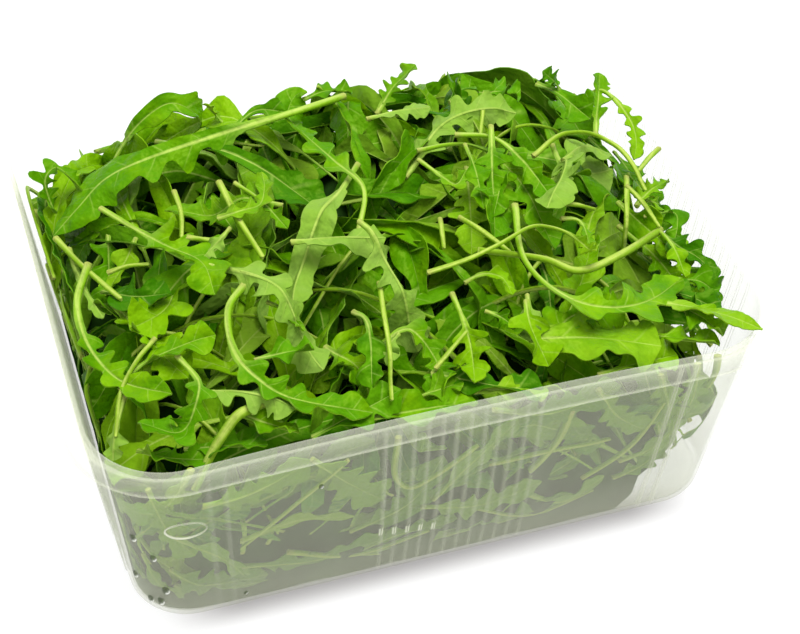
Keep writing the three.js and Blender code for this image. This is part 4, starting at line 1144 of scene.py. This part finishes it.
# %% List the leaves that stand out in the heap
EXTRA_SEED = 31
EXTRA_STATIONS = 50
EXTRA_THICK = 0.87
EXTRA = [
    ("lime", 3, 0.3, 2, 0.7, [(-34, 40, 86), (-37, 42, 90), (-40, 42, 95)]),
    ("stalk", 0.9, [(3, 46, 83), (0, 46, 87), (-3, 46, 91)]),
    ("green", 5, 0.1, 1, 0.8, [(-9, 44, 88), (-1, 45, 89), (8, 45, 87)]),
    ("dark", 6, 0.1, 0, 1.0, [(-34, 34, 89), (-25, 38, 92), (-16, 36, 91)]),
    ("dark", 6, 0.1, 1, 0.9, [(36, 31, 87), (41, 36, 87), (47, 38, 86)]),
    ("dark", 6, 0.1, 1, 0.9, [(48, 34, 86), (54, 33, 86), (60, 31, 84)]),
    ("green", 8, 0.1, 0, 1.0, [(69, 40, 81), (73, 30, 83), (79, 18, 81)]),
    ("dark", 4, 0.1, 1, 0.8, [(74, 32, 83), (72, 34, 86), (69, 36, 89)]),
    ("stalk", 0.9, [(45, 25, 91), (42, 18, 90), (39, 11, 89)]),
    ("green", 6, 0.45, 2, 1.1, [(30, 10, 92), (41, 5, 92), (47, -7, 90), (51, -22, 86)]),
    ("pale", 7, 0.1, 1, 0.9, [(62, -1, 83), (73, 8, 79), (84, 11, 71)]),
    ("green", 5, 0.2, 1, 0.9, [(32, 6, 91), (31, -8, 90), (29, -20, 87)]),
    ("green", 5, 0.2, 1, 0.9, [(38, 1, 90), (38, -10, 89), (31, -23, 86)]),
    ("lime", 3.5, 0.4, 2, 0.9, [(16, 3, 91), (21, -8, 91), (24, -10, 90), (29, -4, 89)]),
    ("stalk", 1.0, [(15, -21, 88), (14, -26, 87), (13, -31, 85)]),
    ("stalk", 1.1, [(20, -23, 89), (25, -30, 88), (31, -38, 85)]),
    ("stalk", 1.0, [(53, -23, 86), (58, -24, 85), (63, -25, 83)]),
    ("lime", 3, 0.5, 1, 0.9, [(51, -27, 84), (57, -28, 82), (57, -37, 80)]),
    ("pale", 5, 0.2, 2, 0.9, [(7, 27, 90), (18, 28, 90), (28, 27, 90)]),
    ("lime", 3, 0.3, 1, 0.8, [(84, -13, 71), (89, -14, 70), (91, -14, 66)]),
    ("dark", 5, 0.2, 1, 0.8, [(84, -17, 68), (93, -19, 69), (92, -25, 68), (88, -31, 66)]),
    ("dark", 6, 0.2, 2, 0.8, [(87, -24, 67), (88, -33, 69), (93, -41, 68), (94, -48, 65)]),
    ("dark", 6, 0.2, 1, 0.8, [(82, -47, 68), (88, -50, 69), (92, -55, 67)]),
    ("stalk", 1.0, [(79, -12, 78), (82, -19, 76), (84, -28, 73)]),
    ("green", 4, 0.4, 1, 0.9, [(84, -28, 72), (85, -38, 72), (84, -48, 70)]),
    ("green", 7, 0.15, 1, 1.0, [(31, -53, 79), (29, -63, 77), (31, -73, 71)]),
    ("lime", 5, 0.2, 1, 0.8, [(-8, -72, 69), (-1, -72, 70), (6, -71, 70)]),
    ("green", 3.5, 0.3, 1, 0.8, [(18, -54, 79), (22, -57, 78), (25, -61, 76)]),
    ("pale", 5, 0.2, 1, 0.9, [(32, -51, 79), (30, -59, 78), (28, -66, 75)]),
    ("green", 3.5, 0.3, 1, 0.9, [(15, -44, 82), (21, -43, 83), (26, -45, 82), (27, -52, 81)]),
    ("stalk", 0.9, [(-1, -67, 73), (5, -63, 75), (11, -59, 77)]),
    ("stalk", 1.0, [(-57, 13, 88), (-57, 4, 87), (-59, -5, 85)]),
    ("stalk", 1.1, [(-58, -6, 86), (-54, -8, 86), (-50, -10, 86)]),
    ("lime", 4, 0.1, 3, 0.9, [(-48, -4, 89), (-41, -5, 91), (-35, -4, 91), (-32, 2, 92), (-31, 9, 92)]),
    ("lime", 3, 0.5, 2, 0.9, [(-40, 7, 92), (-34, -1, 90), (-29, -12, 87)]),
    ("pale", 3.5, 0.3, 1, 0.9, [(-45, -8, 88), (-50, -12, 87), (-55, -15, 85)]),
    ("stalk", 1.2, [(-93, 18, 74), (-88, 3, 75), (-80, -17, 77)]),
    ("pale", 3, 0.3, 0, 1.2, [(-90, 13, 73), (-89, -3, 72), (-86, -18, 72)]),
    ("stalk", 0.9, [(-82, -7, 79), (-76, -8, 81), (-70, -10, 82)]),
    ("green", 7, 0.3, 2, 1.0, [(-87, -44, 68), (-80, -41, 73), (-66, -41, 78), (-58, -41, 79)]),
    ("green", 6, 0.2, 1, 1.1, [(-58, -66, 72), (-50, -71, 70), (-43, -74, 68)]),
    ("dark", 7, 0.2, 1, 1.0, [(-50, -53, 78), (-41, -54, 79), (-33, -55, 79)]),
    ("lime", 2, 0.4, 1, 0.9, [(-42, -37, 84), (-38, -41, 83), (-34, -48, 80)]),
    ("dark", 6, 0.3, 1, 1.0, [(-19, -45, 81), (-16, -51, 80), (-20, -69, 73)]),
    ("pale", 4.5, 0.1, 1, 0.8, [(-8, -55, 78), (-13, -59, 77), (-10, -62, 76)]),
    ("pale", 4, 0.5, 1, 1.1, [(-86, -46, 68), (-91, -55, 63), (-93, -60, 58)]),
    ("green", 7, 0.1, 1, 1.0, [(-22, -74, 67), (-6, -77, 69), (8, -78, 68)]),
    ("dark", 8, 0.1, 1, 1.0, [(-2, -66, 71), (14, -74, 69), (28, -78, 67)]),
    ("green", 7, 0.2, 1, 0.9, [(44, -78, 69), (58, -77, 69), (70, -75, 67)]),
    ("dark", 8, 0.1, 1, 0.9, [(-40, -76, 67), (-26, -73, 69), (-12, -70, 71)]),
    ("green", 7, 0.2, 1, 0.9, [(74, -60, 73), (80, -68, 73), (84, -75, 71)]),
    ("dark", 8, 0.2, 1, 0.9, [(70, -50, 71), (82, -55, 69), (90, -62, 67)]),
    ("green", 7, 0.2, 1, 0.9, [(60, -66, 70), (72, -72, 70), (84, -74, 67)]),
    ("dark", 8, 0.2, 1, 0.9, [(84, -70, 62), (80, -60, 66), (82, -46, 67)]),
    ("dark", 7, 0.1, 1, 0.9, [(-74, -66, 63), (-64, -70, 65), (-52, -74, 66)]),
    ("green", 6, 0.1, 1, 0.9, [(-86, -60, 60), (-79, -67, 62), (-68, -72, 63)]),
    ("dark", 8, 0.1, 1, 0.9, [(-84, -6, 71), (-76, -16, 76), (-66, -20, 78)]),
    ("green", 7, 0.1, 1, 0.9, [(90, 8, 64), (91, -8, 64), (90, -20, 63)]),
    ("dark", 7, 0.1, 1, 0.9, [(92, 24, 60), (93, 8, 60), (94, -6, 60)]),
    ("green", 7, 0.1, 1, 0.9, [(91, -30, 61), (91, -44, 62), (88, -58, 62)]),
    ("green", 8, 0.1, 1, 0.9, [(80, -6, 66), (85, -21, 65), (90, -36, 64)]),
    ("dark", 8, 0.1, 0, 0.9, [(74, -67, 66), (82, -61, 65), (88, -52, 63)]),
    ("dark", 7, 0.1, 0, 0.9, [(84, 30, 64), (87, 16, 64), (88, 2, 64)]),
    ("green", 8, 0.15, 2, 0.9, [(-77, 18, 72), (-80, 4, 71), (-83, -12, 67)]),
    ("lime", 6, 0.15, 1, 0.9, [(-70, 10, 75), (-76, 1, 73), (-83, -6, 69)]),
    ("green", 6, 0.15, 1, 0.9, [(-86, -2, 67), (-82, -14, 69), (-76, -24, 71)]),
]
print(len(EXTRA), "leaves and stalks placed in the heap")

# %% Add the heap's leaves
def extra_leaf(random, colour, half, stalk, lobes, thick, route):
    """A leaf or bare stalk with its middle line given, heights and all."""
    look = {"half": half, "stalk": stalk, "lobes": lobes, "thick": EXTRA_THICK * thick}
    roll = slow_wave(random, EXTRA_STATIONS, 0.6, 1.0) + (math.pi if colour == "pale" else 0)
    spine = curve_through(route, EXTRA_STATIONS)
    points, faces, marks = leaf_body(random, spine, roll, look, steps=4)
    return confined(points, 1.4), faces, marks


def add_extras(heaps):
    random = np.random.default_rng(EXTRA_SEED)
    for colour, *plan in EXTRA:
        if colour == "stalk":
            plan = [BARE, 0.9, -1] + plan
        heaps[colour].append(extra_leaf(random, colour, *plan))
    return heaps


def add_pieces(start, groups):
    """One piece for each colour of the loose leaves, named after where they lie."""
    for colour, bodies in groups.items():
        piece = leaf_piece(start + colour, bodies, colour, "packed_leaves")
        print(piece.name + ":", len(bodies), "leaves,", len(piece.data.polygons), "faces")


add_pieces("heap_", add_extras(strew()))

# %% [markdown]
# ## The leaves along the walls
# Through the clear walls, leaves and stalks are seen pressed against the plastic. They are drawn in
# the wall's own directions, round the tub, up, and in from the wall, and then bent round with it.

# %% List the leaves at the front wall
WALL_SEED = 23
WALL_STATIONS = 40
WALL_LAYERS = [(2.4, 44), (5.5, 40)]
WALL_STALKS = 22
WALL_COLOURS = ["green", "dark", "green", "pale", "dark", "lime"]
FRONT_HALF = 92.0
FRONT = [
    ("stalk", 0, 1.1, [(-16, 63), (-17, 48), (-12, 40), (-4, 43), (9, 51)]),
    ("stalk", 0, 1.0, [(13, 41), (32, 42), (53, 39)]),
    ("stalk", 0, 1.4, [(37, 59), (34, 46), (27, 33)]),
    ("stalk", 0, 0.8, [(-31, 59), (-47, 44), (-64, 27)]),
    ("stalk", 0, 0.9, [(46, 22), (60, 34), (68, 52)]),
    ("lime", 2.6, 1.0, [(-64, 31), (-46, 36), (-29, 31)]),
    ("lime", 4.0, 1.2, [(-76, 70), (-81, 61), (-88, 50)]),
    ("pale", 4.5, 1.0, [(-84, 40), (-70, 25), (-62, 9)]),
    ("pale", 4.5, 1.1, [(28, 20), (41, 12), (55, 19)]),
    ("pale", 5.0, 0.9, [(-4, 30), (6, 44), (22, 62)]),
    ("green", 8.0, 1.0, [(-74, 52), (-60, 54), (-42, 62)]),
    ("green", 10.0, 0.9, [(-42, 63), (-32, 50), (-20, 36)]),
    ("green", 7.0, 0.9, [(64, 66), (70, 48), (74, 32)]),
    ("green", 8.0, 0.9, [(-8, 28), (12, 22), (32, 26)]),
    ("green", 7.0, 0.9, [(44, 66), (52, 52), (64, 40)]),
    ("green", 8.0, 0.9, [(-90, 62), (-86, 44), (-78, 28)]),
    ("dark", 9.0, 0.9, [(-64, 17), (-40, 12), (-14, 16)]),
    ("dark", 9.0, 0.9, [(12, 66), (30, 60), (52, 64)]),
    ("dark", 8.0, 0.9, [(-30, 22), (-12, 32), (-2, 50)]),
    ("dark", 9.0, 0.9, [(-88, 22), (-76, 12), (-56, 10)]),
    ("dark", 6.0, 0.9, [(-88, 12), (-64, 7), (-40, 8)]),
    ("pale", 3.5, 1.0, [(-36, 12), (-14, 6), (8, 9)]),
    ("dark", 6.0, 0.9, [(2, 9), (24, 9), (44, 15)]),
    ("green", 4.0, 0.8, [(-100, 24), (-94, 12), (-80, 8)]),
    ("stalk", 0, 1.0, [(-50, 20), (-28, 10), (-4, 14)]),
    ("stalk", 0, 0.8, [(10, 20), (30, 9), (52, 13)]),
    ("dark", 6.0, 0.9, [(58, 17), (67, 22), (76, 34)]),
    ("pale", 5.0, 0.9, [(58, 26), (68, 30), (78, 42)]),
    ("dark", 8.0, 0.9, [(-30, 8), (-14, 16), (6, 14)]),
    ("green", 7.0, 0.9, [(76, 67), (77, 50), (74, 35)]),
    ("stalk", 0, 1.1, [(83, 68), (83, 60), (82, 51)]),
]
EMPTY_AROUND = (62.0, 132.0)
print(len(FRONT), "leaves and stalks placed at the front wall")

# %% Press leaves against the walls
def against_wall(random, spine, look):
    """A leaf from a spine that is given as round the tub, up, and in from the wall."""
    roll = slow_wave(random, WALL_STATIONS, 0.2, 0.7)
    points, faces, marks = leaf_body(random, spine, roll, look, steps=4)
    z = np.clip(points[:, 1], 2.2, None)
    return in_wall(points[:, 0], np.maximum(points[:, 2], 1.3), z), faces, marks


def wall_leaf(random, c, depth, bare=False):
    draw = random.uniform
    top = mouth_place(c, 0, TUB_HEIGHT)
    high = float(height_inside(top[0], top[1])) + 2
    length = draw(45, 80)
    slope = draw(-0.9, 0.9) if random.random() < 0.6 else draw(0, 2 * math.pi)
    middle = draw(9, high - 6)
    t = np.linspace(-0.5, 0.5, WALL_STATIONS)
    bend = draw(-14, 14) * (0.25 - t ** 2) * 4
    around = c + t * length * math.cos(slope) - bend * math.sin(slope)
    height = middle + t * length * math.sin(slope) + bend * math.cos(slope)
    height = np.clip(height, 5, high)
    inward = depth + draw(0, 5) * np.abs(t * 2) ** 2
    look = {"half": draw(6, 11), "stalk": draw(0.15, 0.4), "lobes": int(random.integers(2, 5)),
            "fold": draw(-4, 14), "curl": draw(0.01, 0.06), "wave": draw(0.4, 1.6)}
    if bare:
        look = {"half": BARE, "stalk": 0.9, "lobes": -1, "thick": draw(0.7, 1.2)}
    return against_wall(random, np.column_stack([around, height, inward]), look)


def front_leaf(random, half, thick, route):
    flat = curve_through(route, WALL_STATIONS)
    inward = 1.9 + 1.5 * random.random() * np.linspace(-1, 1, WALL_STATIONS) ** 2
    lobes = -1 if not half else (3 if half > 5 else 1)
    look = {"half": half or BARE, "stalk": 0.15 if half else 0.9, "thick": thick, "fold": 5,
            "lobes": lobes, "curl": 0.03, "wave": 0.8}
    return against_wall(random, np.column_stack([flat, inward]), look)


def press():
    random = np.random.default_rng(WALL_SEED)
    empty_from, empty_to = EMPTY_AROUND
    walls = defaultdict(list)
    for depth, count in WALL_LAYERS:
        for i in range(count):
            c = (i + random.uniform(-0.4, 0.4)) * ROUND / count
            leaf = wall_leaf(random, c, depth + random.uniform(-0.6, 1.2))
            in_front = abs(from_front(c)) < FRONT_HALF
            if not empty_from < c % ROUND < empty_to and (depth > 3 or not in_front):
                walls[WALL_COLOURS[i % len(WALL_COLOURS)]].append(leaf)
    for i in range(WALL_STALKS):
        c = (i + random.uniform(-0.4, 0.4)) * ROUND / WALL_STALKS
        leaf = wall_leaf(random, c, 2.6, bare=True)
        if empty_to < c % ROUND < ROUND - FRONT_HALF:
            walls["stalk"].append(leaf)
    for colour, half, thick, route in FRONT:
        walls[colour].append(front_leaf(random, half, thick, route))
    return walls


add_pieces("wall_", press())

# %% [markdown]
# ## The dark inside of the heap
# Deep between the leaves the heap looks nearly black. A lumpy body below the layers, painted near
# black, is painted shade for the leaves that no light reaches. Its surface is broken up like crumpled
# leaves.

# %% Fill the inside
CORE_BELOW = 17.0
CORE_RINGS = [(1.3, 0.7), (2.4, 0.7), (8, 2.0), (14, 4.0), (20, 6.5), (30, 7), (38, 7)]
CORE_CROWN = (16, 24, 34, 46, 58, 70, 78)
CORE_COLUMNS = 160
CORE_GAP = 0.6
CORE_FLOOR = 1.2
CORE_MIDDLE = (0, 0, 35.0)
LUMP = 1.6
EMPTY_CORNER = 20.0
EMPTY_X, EMPTY_Y, EMPTY_WIDE, EMPTY_TO = 58.0, -25.0, 30.0, 38.0


def shade_finish():
    material, tree = new_material("deep_painted_shade_skin")
    share = ramp(tree, noise(tree, own_place(tree), 60.0, 4.0), 0.35, 0.7)
    # Near black greens: painted shade.
    colour = blend(tree, share, (0.005, 0.022, 0.002, 1), (0.028, 0.075, 0.012, 1))
    shown(tree, surface(tree, {
        "Base Color": colour, "Roughness": 0.7, "Specular IOR Level": 0.0}))
    return material


def core_body():
    c = np.linspace(0, ROUND, CORE_COLUMNS, endpoint=False)
    rings = []
    for z, inset in CORE_RINGS:
        ring = in_wall(c, inset, z)
        corner = unit((ring[:, 0] - EMPTY_X) / EMPTY_WIDE) * unit((EMPTY_Y - ring[:, 1]) / EMPTY_WIDE)
        drawn_in = EMPTY_CORNER * corner * max(0.0, 1 - z / EMPTY_TO)
        rings.append(ring + np.stack([-drawn_in, 0.3 * drawn_in, 0 * drawn_in], axis=-1))
    for inset in CORE_CROWN:
        ring = mouth_place(c, -inset, 0.0)
        rings.append(ring + [0, 0, 1] * (heap_height(ring[:, 0], ring[:, 1]) - CORE_BELOW)[:, None])
    points = np.concatenate(rings)
    x, y, z = points.T
    lumps = np.sin(x * 0.31 + 1) * np.sin(y * 0.37) + np.sin(z * 0.5 + x * 0.2)
    out = points - CORE_MIDDLE
    lumps = (lumps * unit(z / 15))[:, None]
    points = points + LUMP * lumps * out / np.linalg.norm(out, axis=1)[:, None]
    points[:, 2] = np.maximum(points[:, 2], CORE_FLOOR)
    points = confined(points, CORE_GAP)
    ends = [[0, 0, CORE_FLOOR], [0, 0, float(heap_height(0.0, 0.0)) - CORE_BELOW]]
    return capped(points, CORE_COLUMNS, ends)


core = mesh_piece("heap_painted_shade_inside", *core_body(), {}, shade_finish(), sharp_degrees=180)
stand_in(core, "leaf_dark", "packed_leaves")
print("inside of the heap:", len(core.data.polygons), "faces")

# %% [markdown]
# ## The floor
# A white table top that glows a little more towards the back, with a painted shadow along the front of
# the tub's foot.
# It is stage, so it isn't part of the object.

# %% Lay the floor
FLOOR_HALF, FLOOR_DOWN = 2000.0, 0.3
FLOOR_GLOW = (0.87, 1.1)
GLOW_FROM, GLOW_TO = -0.08, 0.12
FLOOR_COLOUR = (0.2, 0.2, 0.2, 1)
SHADE_AT, SHADE_WIDE, PAINTED_SHADOW_STRENGTH = -0.0745, 0.0095, 0.55
SHADE_FULL_TO, SHADE_ENDS = 0.06, 0.088
PAINTED_SHADOW_COLOUR = (0.93, 0.9, 0.9, 1)


def lay_floor():
    material, tree = new_material("white_table")
    spot = node(tree, "SeparateXYZ", {0: own_place(tree)}).outputs
    glow = ramp(tree, spot["Y"], GLOW_FROM, GLOW_TO, *FLOOR_GLOW)
    # A painted shadow: in a narrow band along the front of the foot the glow is dimmed and tinted warm
    # grey.
    aside = ramp(tree, calc(tree, "ABSOLUTE", spot["X"]), SHADE_FULL_TO, SHADE_ENDS, 1.0, 0.0)
    away = calc(tree, "ABSOLUTE", calc(tree, "SUBTRACT", spot["Y"], SHADE_AT))
    near = times(tree, aside, ramp(tree, away, 0.0, SHADE_WIDE, 1.0, 0.0))
    painted_shadow_tint = blend(tree, near, (1, 1, 1, 1), PAINTED_SHADOW_COLOUR)
    glow = times(tree, glow, calc(tree, "MULTIPLY_ADD", near, -PAINTED_SHADOW_STRENGTH, 1.0))
    shown(tree, surface(tree, {
        "Base Color": FLOOR_COLOUR, "Roughness": 0.8, "Specular IOR Level": 0.0,
        "Emission Color": painted_shadow_tint, "Emission Strength": glow}))
    corners = np.array([(-1, -1, 0), (1, -1, 0), (1, 1, 0), (-1, 1, 0)]) * FLOOR_HALF
    floor = mesh_piece("floor", corners - [0, 0, FLOOR_DOWN], np.array([[0, 1, 2, 3]]), {}, material)


lay_floor()
print("floor laid")
